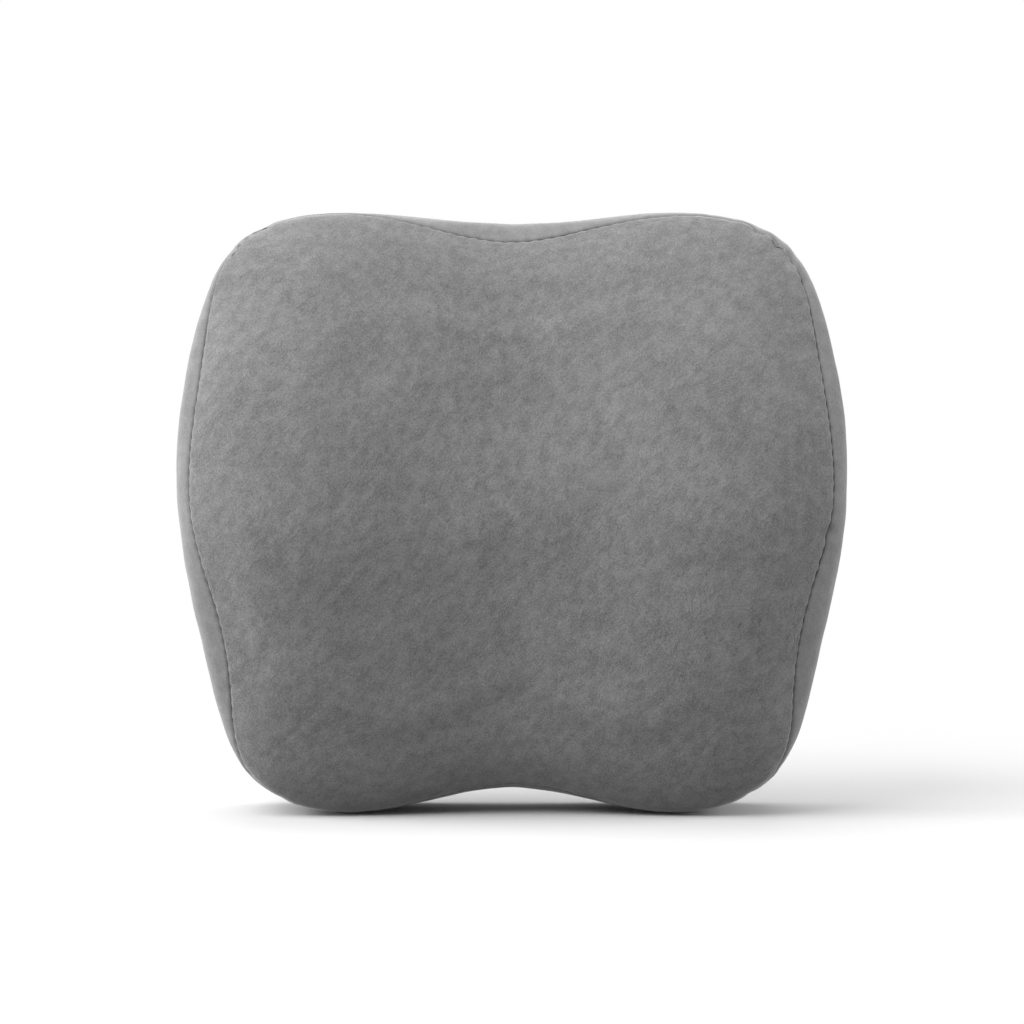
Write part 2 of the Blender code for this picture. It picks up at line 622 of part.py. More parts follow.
def build_slider(parts, helpers, slider_x):
    """Two plates joined by a web that runs between the coils, with a bail that holds the pull tab."""
    under = -COVER_T - GAP - TAPE_T - GAP
    over = COIL_T - COVER_T + GAP
    half_web, half_plate = SLIDER_WEB_T / 2, SLIDER_WIDTH / 2
    section = [
        (under - SLIDER_PLATE_T, -half_plate), (under, -half_plate), (under, -half_web),
        (over, -half_web), (over, -half_plate), (over + SLIDER_PLATE_T, -half_plate),
        (over + SLIDER_PLATE_T, half_plate), (over, half_plate), (over, half_web),
        (under, half_web), (under, half_plate), (under - SLIDER_PLATE_T, half_plate),
    ]
    slider = as_mesh(extruded("zip_slider", [section], SLIDER_LENGTH, "YZ", parts, "zip_metal",
                              (slider_x, BACK_Y, ZIP_Z)))
    top = over + SLIDER_PLATE_T
    half_bail = BAIL_LENGTH / 2
    bail_top, foot = top + BAIL_OPENING + BAIL_WALL, over + SLIDER_PLATE_T / 2
    inner, chamfer = half_bail - BAIL_WALL, BAIL_CHAMFER
    arch = [
        (-half_bail, foot), (-inner, foot), (-inner, top + BAIL_OPENING),
        (inner, top + BAIL_OPENING), (inner, foot), (half_bail, foot),
        (half_bail, bail_top - chamfer), (half_bail - chamfer, bail_top),
        (chamfer - half_bail, bail_top), (-half_bail, bail_top - chamfer),
    ]
    bail = as_mesh(extruded("bail_shape", [arch], BAIL_WIDTH, "XY", helpers, None,
                            (slider_x, BACK_Y, ZIP_Z)))
    combine(slider, bail, "UNION")
    hinge_y = BACK_Y + top + BAIL_OPENING / 2
    half_bar, half_tab = TAB_T / 2, TAB_WIDTH / 2
    plate = filleted(rectangle((-TAB_LENGTH, -half_tab), (half_bar, half_tab)), TAB_ROUND)
    window = rectangle((-half_bar - TAB_WINDOW_LENGTH, -TAB_WINDOW_WIDTH / 2),
                       (-half_bar, TAB_WINDOW_WIDTH / 2))
    eye = circle((-TAB_LENGTH + half_tab, 0.0), TAB_EYE_R)
    tab = extruded("zip_pull_tab", [plate, window, eye], TAB_T, "XZ", parts, "zip_metal",
                   (slider_x, hinge_y, ZIP_Z))
    attach(tab, slider)


# ---- strap and buckle, placed from the back face ----

def build_straps(parts, rings):
    anchor = half_width(back_outline(rings, 0.0), STRAP_Z) - STRAP_END_IN
    on_cover = GAP + WEBBING_T / 2
    raised = GAP + KEEPER_T + GAP + WEBBING_T / 2
    doubled = raised + WEBBING_T + GAP
    bar_middle = BUCKLE_GAP + BUCKLE_T / 2
    over_bar = bar_middle + PLUG_T / 2 + GAP + WEBBING_T / 2
    end = [(anchor, on_cover), (anchor - STRAP_FLAT_END, on_cover),
           (anchor - STRAP_FLAT_END - STRAP_RAMP, raised)]
    bar_face = SOCKET_BODY + BAR_SLOT - GAP - WEBBING_T / 2
    bar_end = SOCKET_BODY + BAR_SLOT + BAR + BEND_CLEAR
    fixed = end + [
        (bar_face, raised), (bar_face, over_bar), (bar_end, over_bar),
        (bar_end + STRAP_RAMP, doubled), (bar_end + STRAP_RAMP + FOLD_BACK, doubled),
    ]
    loaded_end = -FLANGE - GAP - BAR_SLOT + GAP
    loaded = [(-x, y) for x, y in end] + [(loaded_end + WEBBING_T, raised)]
    tail_start = loaded_end + WEBBING_T / 2
    outer_bar = loaded_end - GAP - 2 * BAR - BAR_SLOT - BEND_CLEAR
    tail = [
        (tail_start, raised + WEBBING_T / 2 + GAP), (tail_start, over_bar), (outer_bar, over_bar),
        (outer_bar - STRAP_RAMP, doubled), (TAIL_END_X, doubled),
    ]
    for name, path in (("strap_fixed", fixed), ("strap_adjustable", loaded), ("strap_tail", tail)):
        extruded(name, [strip(path, WEBBING_T)], STRAP_WIDTH, "XY", parts, "webbing",
                 (0.0, BACK_Y, STRAP_Z))
    inner_y = (GAP + KEEPER_T, doubled + WEBBING_T / 2 + GAP)
    inner_z = STRAP_WIDTH / 2 + GAP
    hole = rectangle((inner_y[0], -inner_z), (inner_y[1], inner_z))
    shell = filleted(rectangle((inner_y[0] - KEEPER_T, -inner_z - KEEPER_T),
                               (inner_y[1] + KEEPER_T, inner_z + KEEPER_T)), KEEPER_T, 1)
    extruded("strap_keeper", [shell, hole], KEEPER_LENGTH, "YZ", parts, "webbing",
             (KEEPER_X, BACK_Y, STRAP_Z))


def build_socket(parts, helpers):
    low, high = BUCKLE_GAP, BUCKLE_GAP + BUCKLE_T
    side = BUCKLE_WIDTH / 2
    length = SOCKET_BODY + BAR_SLOT + BAR
    at = (0.0, BACK_Y, STRAP_Z)
    socket = box("buckle_socket", (0.0, low, -side), (length, high, side), parts, "buckle", at)
    round_edges(socket, BUCKLE_FILLET)
    cavity = side - RAIL
    bar_low, bar_high = (low + high - PLUG_T) / 2, (low + high + PLUG_T) / 2
    past = BUCKLE_WALL
    cuts = {
        "cavity": ((-past, low + BUCKLE_WALL, -cavity), (CAVITY_DEPTH, high - BUCKLE_WALL, cavity)),
        "windows": ((WINDOW_START, low + BUCKLE_WALL, -side - past),
                    (WINDOW_END, high - BUCKLE_WALL, side + past)),
        "strap_slot": ((SOCKET_BODY, low - past, -cavity), (SOCKET_BODY + BAR_SLOT, high + past, cavity)),
        "under_bar": ((SOCKET_BODY + BAR_SLOT / 2, low - past, -cavity),
                      (length + past, bar_low, cavity)),
        "over_bar": ((SOCKET_BODY + BAR_SLOT / 2, bar_high, -cavity),
                     (length + past, high + past, cavity)),
    }
    for name, (start, end) in cuts.items():
        combine(socket, box(name + "_cutter", start, end, helpers, None, at), "DIFFERENCE")


def build_plug(parts, helpers):
    """The plug's flange with its strap bars behind and its tongue and two latch arms in front."""
    low, high = BUCKLE_GAP, BUCKLE_GAP + BUCKLE_T
    middle = (low + high) / 2
    side = BUCKLE_WIDTH / 2
    at = (0.0, BACK_Y, STRAP_Z)
    flange_low, flange_high = -GAP - FLANGE, -GAP
    plug = box("buckle_plug", (flange_low, low, -side), (flange_high, high, side), parts, "buckle", at)
    round_edges(plug, BUCKLE_FILLET)
    inside = side - RAIL
    bars_end = flange_low - 2 * (BAR_SLOT + BAR)
    overlap = FLANGE / 2
    frame = filleted(rectangle((bars_end, -side), (flange_low + overlap, side)), BUCKLE_FILLET)
    bars = as_mesh(extruded("plug_bars_shape", [frame], PLUG_T, "XZ", helpers, None,
                            (0.0, BACK_Y + middle, STRAP_Z)))
    slots = {
        "inner_slot": (flange_low - BAR_SLOT, flange_low + BUCKLE_FILLET),
        "outer_slot": (flange_low - 2 * BAR_SLOT - BAR, flange_low - BAR_SLOT - BAR),
    }
    for name, (start, end) in slots.items():
        cutter = box(name + "_cutter", (start, low, -inside), (end, high, inside), helpers, None, at)
        combine(bars, cutter, "DIFFERENCE")
    tongue_outline = filleted(
        rectangle((flange_high - overlap, -TONGUE_WIDTH / 2), (TONGUE_LENGTH, TONGUE_WIDTH / 2)),
        BUCKLE_FILLET)
    tongue = as_mesh(extruded("plug_tongue_shape", [tongue_outline], PLUG_T, "XZ", helpers, None,
                              (0.0, BACK_Y + middle, STRAP_Z)))
    combine(plug, bars, "UNION")
    combine(plug, tongue, "UNION")
    build_latch_arms(parts, plug, middle, side)


def build_latch_arms(parts, plug, middle, side):
    """Two springy arms, each with its own origin on the line that it bends about."""
    wall = side - RAIL - ARM_PIVOT_Z
    head = side + ARM_PROUD - ARM_PIVOT_Z
    tip, shoulder = ARM_TIP_X - ARM_ROOT_R, ARM_SHOULDER_X - ARM_ROOT_R
    half_turn = [math.radians(90 + 180 * i / ROOT_STEPS) for i in range(ROOT_STEPS + 1)]
    arm = [(ARM_ROOT_R * math.cos(a), ARM_ROOT_R * math.sin(a)) for a in half_turn]
    arm.append((shoulder, -ARM_WAIST_IN))
    arm += [(tip - back, out) for back, out in ARM_TIP_BEVEL]
    arm.append((tip - ARM_TIP_ROUND, wall - ARM_TIP_CLEAR))
    arm += [(tip - back, head - below) for back, below in ARM_SLOPE]
    arm += [(shoulder + ARM_HEAD_ROUND[0], head), (shoulder, head - ARM_HEAD_ROUND[1])]
    arm.append((shoulder, wall - 2 * ARM_ROOT_R + ARM_SHOULDER_ROUND))
    for name, up in (("latch_arm_upper", 1), ("latch_arm_lower", -1)):
        outline = [(x, up * z) for x, z in arm]
        arm_obj = extruded(name, [outline], PLUG_T, "XZ", parts, "buckle",
                           (ARM_ROOT_R, BACK_Y + middle, STRAP_Z + up * ARM_PIVOT_Z))
        attach(arm_obj, plug)


def build_label(parts):
    half_x, half_z = LABEL_WIDTH / 2, LABEL_HEIGHT / 2
    extruded("care_label", [rectangle((-half_x, -half_z), (half_x, half_z))], LABEL_T, "XZ",
             parts, "label", (WIDTH / 2 - LABEL_FROM_SIDE, BACK_Y + GAP + LABEL_T / 2, LABEL_Z))


def main():
    clear_scene()
    parts = new_collection("lumbar_support_cushion")
    helpers = new_collection("cutters")
    rings = skin_rings()
    normals = skin_normals(rings)
    build_cushion(parts, rings, normals)
    build_back_panels(parts, rings)
    build_zip(parts, helpers, rings)
    build_straps(parts, rings)
    build_socket(parts, helpers)
    build_plug(parts, helpers)
    build_label(parts)


main()
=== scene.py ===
"""Looks of a lumbar support cushion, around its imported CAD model.

Metres. X is the width, -Y the side that a back leans on, +Y the side with the strap and zip, +Z up.
"""

import math

import bmesh
import bpy
import numpy as np
from bpy.props import FloatProperty, FloatVectorProperty, IntProperty
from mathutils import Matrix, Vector, noise
from mathutils.bvhtree import BVHTree


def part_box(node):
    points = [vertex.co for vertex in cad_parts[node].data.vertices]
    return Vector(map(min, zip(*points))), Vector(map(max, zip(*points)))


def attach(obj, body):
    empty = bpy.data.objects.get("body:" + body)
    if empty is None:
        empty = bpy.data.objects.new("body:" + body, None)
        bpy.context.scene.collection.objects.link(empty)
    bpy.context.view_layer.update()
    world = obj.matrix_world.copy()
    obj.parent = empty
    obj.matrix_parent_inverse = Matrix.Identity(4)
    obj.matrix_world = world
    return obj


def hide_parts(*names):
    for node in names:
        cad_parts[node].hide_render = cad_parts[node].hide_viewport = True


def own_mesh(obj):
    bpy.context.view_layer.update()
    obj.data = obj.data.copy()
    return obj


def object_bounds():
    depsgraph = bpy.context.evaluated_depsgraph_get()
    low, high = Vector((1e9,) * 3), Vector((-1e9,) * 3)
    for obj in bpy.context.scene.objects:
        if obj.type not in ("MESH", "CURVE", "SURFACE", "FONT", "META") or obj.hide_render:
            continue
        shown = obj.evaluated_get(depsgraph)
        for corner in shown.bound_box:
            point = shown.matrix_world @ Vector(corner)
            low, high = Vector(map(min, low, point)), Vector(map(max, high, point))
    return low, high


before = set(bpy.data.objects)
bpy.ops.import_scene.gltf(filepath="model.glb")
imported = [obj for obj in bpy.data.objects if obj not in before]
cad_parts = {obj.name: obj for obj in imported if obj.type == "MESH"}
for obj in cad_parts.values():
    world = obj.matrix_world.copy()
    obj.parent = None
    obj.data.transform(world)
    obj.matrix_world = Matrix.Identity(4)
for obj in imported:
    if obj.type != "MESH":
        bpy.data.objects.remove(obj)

bl_info = {
    "name": "Lumbar support cushion",
    "version": (1, 0, 0),
    "blender": (4, 5, 0),
    "location": "3D View > Sidebar > Cushion",
    "description": "Makes a pile-covered lumbar cushion with its zip, strap and buckle",
    "category": "Add Mesh",
}

MM = 0.001
CAD_LOW, CAD_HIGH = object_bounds()
MIDDLE = np.array(((CAD_LOW.x + CAD_HIGH.x) / 2, 0.0, (CAD_LOW.z + CAD_HIGH.z) / 2))
BACK_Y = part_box("back_panel_upper")[1].y
COVER_PIECES = ("cover_front_panel", "cover_gusset", "back_panel_upper", "back_panel_lower",
                "foam_core")
AROUND = 800            # points round the cushion, a multiple of 8


# ---- settings ----

def length(name, description, default, low=0.0, high=1.0):
    return FloatProperty(name=name, description=description, default=default, min=low, max=high,
                         precision=5, unit="LENGTH")


def colour(name, description, default):
    return FloatVectorProperty(name=name, description=description, default=default, min=0.0,
                               max=1.0, size=3, subtype="COLOR")


class CushionSettings(bpy.types.PropertyGroup):
    voxel: length("Remesh voxel", "Size of the voxels that the filled body is remeshed at", 0.005)
    start_in: length("Start inside", "How far inside the cover the filling is before it swells",
                     0.0025)
    swell_cap: length("Swell limit", "Furthest that the filling may swell from its start", 0.0055)
    proud: length("Proud", "Furthest that the swollen cover may stand out of its pattern", 0.0015)
    shrunk: length("Drawn in", "Furthest that the swollen cover may sink inside it", 0.0004)
    seam_depth: length("Seam depth", "How deep the front seam pulls into the pile", 0.0019)
    seam_roll: length("Seam roll", "Width of the rounded edge beside the front seam", 0.0022)
    back_seam_depth: length("Back seam depth", "Depth of the seam round the back panels", 0.0013)
    stitch_pitch: length("Stitch pitch", "From one stitch of the front seam to the next", 0.0064)
    pucker: length("Pucker", "Depth of the gathers beside the front seam", 0.0006)
    pile: colour("Pile", "Colour of the front panel", (0.262, 0.262, 0.263))
    pile_dark: colour("Pile against the nap", "Colour where the pile is brushed back",
                      (0.112, 0.112, 0.113))
    # The side band is the same pile as the front panel, given a lighter colour: painted light on
    # the side band.
    gusset: colour("Gusset", "Colour of the side band", (0.275, 0.275, 0.276))


class BackSettings(bpy.types.PropertyGroup):
    hem: length("Hem", "Width of the folded hem along the zip", 0.006)
    cloth: colour("Back cloth", "Colour of the spacer mesh", (0.150, 0.151, 0.156))
    label: colour("Label", "Colour of the blank label", (0.80, 0.80, 0.78))
    thread: colour("Thread", "Colour of the sewing thread", (0.30, 0.30, 0.31))


class ZipSettings(bpy.types.PropertyGroup):
    pitch: length("Coil pitch", "From one turn of the coil to the next", 0.0015)
    tape: colour("Tape", "Colour of the zip's woven tape", (0.11, 0.11, 0.115))
    coil: colour("Coil", "Colour of the nylon coil", (0.10, 0.10, 0.105))
    metal: colour("Metal", "Colour of the plated slider and stops", (0.34, 0.34, 0.35))


class StrapSettings(bpy.types.PropertyGroup):
    webbing: colour("Webbing", "Colour of the woven strap", (0.030, 0.030, 0.034))
    elastic: colour("Elastic", "Colour of the keeper", (0.034, 0.034, 0.038))
    thread: colour("Thread", "Colour of the strap's sewing thread", (0.05, 0.05, 0.055))
    stitch: length("Stitch", "Length of one visible stitch", 0.0024)


class BuckleSettings(bpy.types.PropertyGroup):
    edge: length("Edge", "Radius of the moulded edges", 0.0004)
    ribs: IntProperty(name="Grip ribs", description="Ribs on each press pad", default=5, min=0,
                      max=9)
    plastic: colour("Plastic", "Colour of the buckle", (0.020, 0.020, 0.022))


class StageSettings(bpy.types.PropertyGroup):
    distance: length("Camera distance", "From the camera to the middle of the cushion", 1.60, 0.2,
                     10.0)
    across: length("Width in view", "Width that the view takes in at the cushion", 0.5440, 0.1, 2.0)
    elevation: FloatProperty(name="Camera elevation", description="Angle above the horizon",
                             default=math.radians(1.5), subtype="ANGLE")
    key: FloatProperty(name="Key light", description="Power of the upper left light, in watts",
                       default=36.0, min=0.0)
    fill: FloatProperty(name="Surrounding light", description="Strength of the even light",
                        default=0.40, min=0.0)
    floor: colour("Floor", "Colour of the floor", (0.76, 0.76, 0.76))


GROUPS = {
    "lumbar_cushion": CushionSettings,
    "lumbar_back": BackSettings,
    "lumbar_zip": ZipSettings,
    "lumbar_strap": StrapSettings,
    "lumbar_buckle": BuckleSettings,
    "lumbar_stage": StageSettings,
}


# ---- mesh tools ----

def new_object(name, mesh, body=None, materials=(), replaces=()):
    """A piece in the scene that rides on its body and stands for CAD nodes."""
    obj = bpy.data.objects.new(name, mesh)
    bpy.context.scene.collection.objects.link(obj)
    for material in materials:
        mesh.materials.append(material)
    if body:
        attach(obj, body)
    if replaces:
        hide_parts(*replaces)
    return obj


def mesh_from(name, points, faces, smooth=True):
    mesh = bpy.data.meshes.new(name)
    mesh.from_pydata([tuple(p) for p in points], [], [tuple(f) for f in faces])
    mesh.validate()
    if smooth:
        mesh.shade_smooth()
    return mesh


def from_bmesh(name, bm, smooth=True):
    mesh = bpy.data.meshes.new(name)
    bmesh.ops.recalc_face_normals(bm, faces=bm.faces)
    bm.to_mesh(mesh)
    bm.free()
    if smooth:
        mesh.shade_smooth()
    return mesh


def evaluated_mesh(obj):
    """The object's mesh with its modifiers applied."""
    graph = bpy.context.evaluated_depsgraph_get()
    return bpy.data.meshes.new_from_object(obj.evaluated_get(graph), depsgraph=graph)


def tree_of(mesh):
    """The mesh, ready for rays to be cast at it."""
    return BVHTree.FromPolygons([v.co.copy() for v in mesh.vertices],
                                [tuple(p.vertices) for p in mesh.polygons])


def coordinates(mesh):
    points = np.empty(len(mesh.vertices) * 3)
    mesh.vertices.foreach_get("co", points)
    return points.reshape(-1, 3)


def set_coordinates(mesh, points):
    mesh.vertices.foreach_set("co", np.asarray(points, np.float32).ravel())
    mesh.update()


def smoothed_around(values, reach):
    """Values on a closed ring, each averaged with its neighbours by a bell curve of some steps."""
    steps = np.arange(-3 * reach, 3 * reach + 1)        # the bell is as good as nothing beyond
    weights = np.exp(-0.5 * (steps / reach) ** 2)
    weights /= weights.sum()
    return sum(w * np.roll(values, s, axis=0) for w, s in zip(weights, steps))


def rumple(points, size, seed=0.0):
    """Smooth noise from -1 to 1 at each point, whose waves are about the given size."""
    shift = Vector((seed * 7.3, seed * 3.1, seed * 5.7))
    return np.array([noise.noise(Vector(p) / size + shift) for p in points])


def ring_profile(node, keep=None, outermost=True):
    """How far out a CAD node reaches from the cushion's axis at each of AROUND angles, and the
    depth there. keep picks the edges that count by their two ends' depths."""
    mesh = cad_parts[node].data
    points = coordinates(mesh)
    flat = points[:, (0, 2)] - MIDDLE[[0, 2]]
    angle = np.arctan2(flat[:, 1], flat[:, 0])
    best = np.full(AROUND, -1.0 if outermost else 9.0)
    depth = np.zeros(AROUND)
    step = 2 * math.pi / AROUND
    for edge in mesh.edges:
        a, b = edge.vertices
        if keep and not (keep(points[a, 1]) and keep(points[b, 1])):
            continue
        turn = (angle[b] - angle[a] + math.pi) % (2 * math.pi) - math.pi
        if abs(turn) < 1e-9 or abs(turn) > 1.0:
            continue
        first, last = sorted((angle[a], angle[a] + turn))
        for k in range(math.ceil(first / step), math.floor(last / step) + 1):
            ray = np.array((math.cos(k * step), math.sin(k * step)))
            across = flat[b] - flat[a]
            cross = across[0] * ray[1] - across[1] * ray[0]
            share = (flat[a][1] * ray[0] - flat[a][0] * ray[1]) / cross
            reach = float((flat[a] + across * share) @ ray)
            if (reach > best[k % AROUND]) == outermost:
                best[k % AROUND] = reach
                depth[k % AROUND] = points[a, 1] + (points[b, 1] - points[a, 1]) * share
    return best, depth


ANGLES = np.arange(AROUND) * 2 * math.pi / AROUND
RAYS = np.stack([np.cos(ANGLES), np.sin(ANGLES)], axis=1)


def place(reach, depth):
    """Points at a reach from the cushion's axis along each ray, and at a depth."""
    reach, depth = np.broadcast_to(reach, AROUND), np.broadcast_to(depth, AROUND)
    return np.stack([MIDDLE[0] + RAYS[:, 0] * reach, depth, MIDDLE[2] + RAYS[:, 1] * reach], axis=1)


def path_travel(line):
    """How far each point of a line lies from its start, along it."""
    steps = np.linalg.norm(np.diff(line, axis=0), axis=1)
    return np.concatenate([[0], np.cumsum(steps)])


def points_at(line, travel, wanted):
    """The points of a line that lie at the wanted distances along it."""
    return np.stack([np.interp(wanted, travel, axis) for axis in line.T], axis=1)


def grid_normals(rows):
    """Unit normals of a grid of rings, pointing away from the cushion's middle."""
    around = np.roll(rows, -1, axis=1) - np.roll(rows, 1, axis=1)
    along = np.gradient(rows, axis=0)
    normals = np.cross(around, along)
    normals /= np.maximum(np.linalg.norm(normals, axis=2, keepdims=True), 1e-12)
    inside = np.array((MIDDLE[0], rows[:, :, 1].mean(), MIDDLE[2]))
    if ((rows - inside) * normals).sum() < 0:
        normals = -normals
    return normals


# ---- the filled body ----

UPPER_FALL, LOWER_FALL = 42 * MM, 46 * MM       # from the crest back to the top and bottom edges
SLOPE_POWER = 1.5                               # 2 is a round crest, and less is more even slopes
CREST_DOWN = 24 * MM                            # from the foam's crest down to the cloth's
HELD_BACK, HELD_FADE = 8 * MM, 10 * MM          # depth at the back that stays flat, and its fade
SMOOTHED = 2                                    # times that the voxel skin is smoothed
PRESSURE = 4.0
CLOTH_STEPS = 20


def filled_body(settings):
    """The closed body of foam and cover, swollen by a cloth simulation under pressure."""
    bm = bmesh.new()
    for node in COVER_PIECES:
        bm.from_mesh(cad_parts[node].data)
    mesh = bpy.data.meshes.new("filling")
    bm.to_mesh(mesh)
    bm.free()
    body = new_object("filling", mesh)
    remesh = body.modifiers.new("Remesh", "REMESH")
    remesh.mode = "VOXEL"
    remesh.voxel_size = settings.voxel
    skin = evaluated_mesh(body)
    body.modifiers.clear()
    body.data = skin
    bm = bmesh.new()
    bm.from_mesh(skin)
    for _ in range(SMOOTHED):
        bmesh.ops.smooth_vert(bm, verts=bm.verts, factor=0.5, use_axis_x=True, use_axis_y=True,
                              use_axis_z=True)
    bm.normal_update()
    normals = np.array([v.normal for v in bm.verts])
    bm.to_mesh(skin)
    bm.free()
    points = flatter_slopes(coordinates(skin), normals)
    free = np.clip((BACK_Y - HELD_BACK - points[:, 1]) / HELD_FADE, 0, 1)
    start = points - normals * (settings.start_in * free)[:, None]
    set_coordinates(skin, start)
    held = body.vertex_groups.new(name="Held at the back")
    for index in np.flatnonzero(free < 0.05):
        held.add([int(index)], 1.0, "REPLACE")
    cloth = body.modifiers.new("Filling", "CLOTH")
    cloth.settings.use_pressure = True
    cloth.settings.uniform_pressure_force = PRESSURE
    cloth.settings.effector_weights.gravity = 0.0
    cloth.settings.vertex_group_mass = held.name
    cloth.settings.quality = 5
    cloth.point_cache.frame_start, cloth.point_cache.frame_end = 1, CLOTH_STEPS
    for step in range(1, CLOTH_STEPS + 1):
        bpy.context.scene.frame_set(step)
    swollen = coordinates(evaluated_mesh(body))
    body.modifiers.clear()
    moved = swollen - start
    far = np.linalg.norm(moved, axis=1, keepdims=True)
    cap = settings.swell_cap * free[:, None]
    start = start + moved * np.minimum(1.0, cap / np.maximum(far, 1e-9))
    out = np.clip(((start - points) * normals).sum(axis=1), -settings.shrunk, settings.proud)
    start = points + normals * (out * free)[:, None]
    set_coordinates(body.data, start)
    bpy.context.scene.frame_set(1)
    divide = body.modifiers.new("Subdivide", "SUBSURF")
    divide.levels = divide.render_levels = 1
    final = evaluated_mesh(body)
    filling = body.data
    bpy.data.objects.remove(body)
    return tree_of(final), filling


def flatter_slopes(points, normals):
    """Draws the front in a little between its crest and its ends, so that it turns over a lower
    crest and slopes more evenly above and below it, as cloth pulled over the foam does."""
    front = coordinates(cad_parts["cover_front_panel"].data)
    crest = front[front[:, 1].argmin(), 2]
    lowered = fall_from(crest - CREST_DOWN, points[:, 2], SLOPE_POWER)
    drawn = lowered - fall_from(crest, points[:, 2], 2)
    moved = points.copy()
    moved[:, 1] += drawn * np.clip(-normals[:, 1] / 0.8, 0, 1)
    return moved


def fall_from(crest, heights, power):
    """How far the front falls back at each height from a crest."""
    upper = heights > crest
    away = np.abs(heights - crest) / np.where(upper, CAD_HIGH.z - crest, crest - CAD_LOW.z)
    return np.where(upper, UPPER_FALL, LOWER_FALL) * np.clip(away, 0, 1) ** power


def front_of(tree, x, z):
    """Depth of the body's front face at a place."""
    hit = tree.ray_cast(Vector((x, -1.0, z)), Vector((0.0, 1.0, 0.0)))[0]
    if hit is None:
        raise RuntimeError(f"the filled body has no front face at {x:.3f}, {z:.3f}")
    return hit.y


def disc_grid(count):
    """A square grid of quads laid over a disc: each point's ring and place along it (from 0 to 1),
    the faces, and the outermost ring's points in order."""
    rings, places, index = [], [], {}
    for j in range(-count, count + 1):
        for i in range(-count, count + 1):
            ring = max(abs(i), abs(j))
            index[i, j] = len(rings)
            rings.append(ring)
            if ring == 0:
                places.append(0.0)
            elif i == ring and j < ring:
                places.append((j % (8 * ring)) / (8 * ring))
            elif j == ring and i > -ring:
                places.append((2 * ring - i) / (8 * ring))
            elif i == -ring and j > -ring:
                places.append((4 * ring - j) / (8 * ring))
            else:
                places.append((6 * ring + i) / (8 * ring))
    faces = [(index[i, j], index[i + 1, j], index[i + 1, j + 1], index[i, j + 1])
             for j in range(-count, count) for i in range(-count, count)]
    places = np.array(places)
    outer = [k for k, ring in enumerate(rings) if ring == count]
    outer.sort(key=lambda k: places[k])
    return np.array(rings) / count, places, faces, outer


def along_ring(ring, places):
    """Points of a closed ring at shares of its number of points."""
    at = places * len(ring)
    low = np.floor(at).astype(int) % len(ring)
    share = (at - np.floor(at))[:, None]
    return ring[low] * (1 - share) + ring[(low + 1) % len(ring)] * share


def ring_faces(first, rows, count, before=None):
    """Quads between rows of points that follow each other from an index, or from a row before."""
    faces = []
    loops = [list(range(first + r * count, first + (r + 1) * count)) for r in range(rows)]
    if before is not None:
        loops.insert(0, list(before))
    for one, two in zip(loops, loops[1:]):
        for i in range(count):
            j = (i + 1) % count
            faces.append((one[i], two[i], two[j], one[j]))
    return faces


def thick(name, points, faces, thickness):
    """A closed shell of an even thickness behind the given surface."""
    obj = bpy.data.objects.new(name + "_sheet", mesh_from(name + "_sheet", points, faces))
    bpy.context.scene.collection.objects.link(obj)
    solid = obj.modifiers.new("Thickness", "SOLIDIFY")
    solid.thickness = thickness
    solid.offset = -1.0
    mesh = evaluated_mesh(obj)
    bpy.data.objects.remove(obj)
    mesh.materials.clear()
    mesh.set_sharp_from_angle(angle=math.radians(55))
    return mesh


def facing(points, faces, outward):
    """The faces, turned over if they face against the given directions at the points."""
    a, b, c = (points[[f[k] for f in faces]] for k in range(3))
    if (np.cross(b - a, c - a) * outward[[f[0] for f in faces]]).sum() < 0:
        return [tuple(reversed(f)) for f in faces]
    return faces


# ---- cover ----

DISC = AROUND // 8              # rings of the square grid, so that its edge has AROUND points
DISC_SHARE = 0.93               # how far out the square grid goes
RIM_RINGS = 16
SIDE_ROWS = 40
SPINE_IN = 26 * MM
CLOSER = 0.85                   # how much closer the side's rows lie at the seams
COVER_THICKNESS = 1.4 * MM
FILLING_IN = 5.0 * MM           # how far inside the cover's outside the filling lies
CREASE_EDGE, CREASE_FADE = 150 * MM, 30 * MM    # how far out the front's creases go, and their fade
FAN = (-0.5, 0.7, 25)           # turns either side of the seam that are tried, in radians
EASE_REACH = 6.5 * MM           # how far from the seam the gathers fade out

# How far the seam is worked round the edge when the cover is sewn: angle in degrees, mm back
SEAM_SHIFT = (
    (0, -0.5), (12, -0.5), (30, 0.5), (45, 2.6), (62, 3.0), (76, 0.0), (90, -3.0), (104, -0.5),
    (118, 5.0), (135, 7.5), (150, 2.0), (166, 0.0), (182, 0.0), (198, -1.5), (214, 1.0), (226, 8.0),
    (246, 8.0), (270, 5.5), (294, 8.0), (316, 8.0), (328, 1.0), (346, -3.0),
)

# Gathers where fullness is eased into the seam: angle in degrees, depth and width in mm
GATHERS = (
    (48.9, 1.7, 4.0), (45.4, 2.0, 4.2), (42.1, 1.7, 4.0), (38.2, 0.8, 4.2), (53.0, 0.6, 4.2),
    (-3.4, 1.6, 4.0), (-8.5, 0.6, 4.2), (131.0, 0.6, 4.0), (137.0, 0.7, 4.2),
    (225.0, 0.6, 4.2), (231.0, 0.5, 4.0), (310.0, 0.6, 4.2), (316.5, 0.6, 4.0),
)


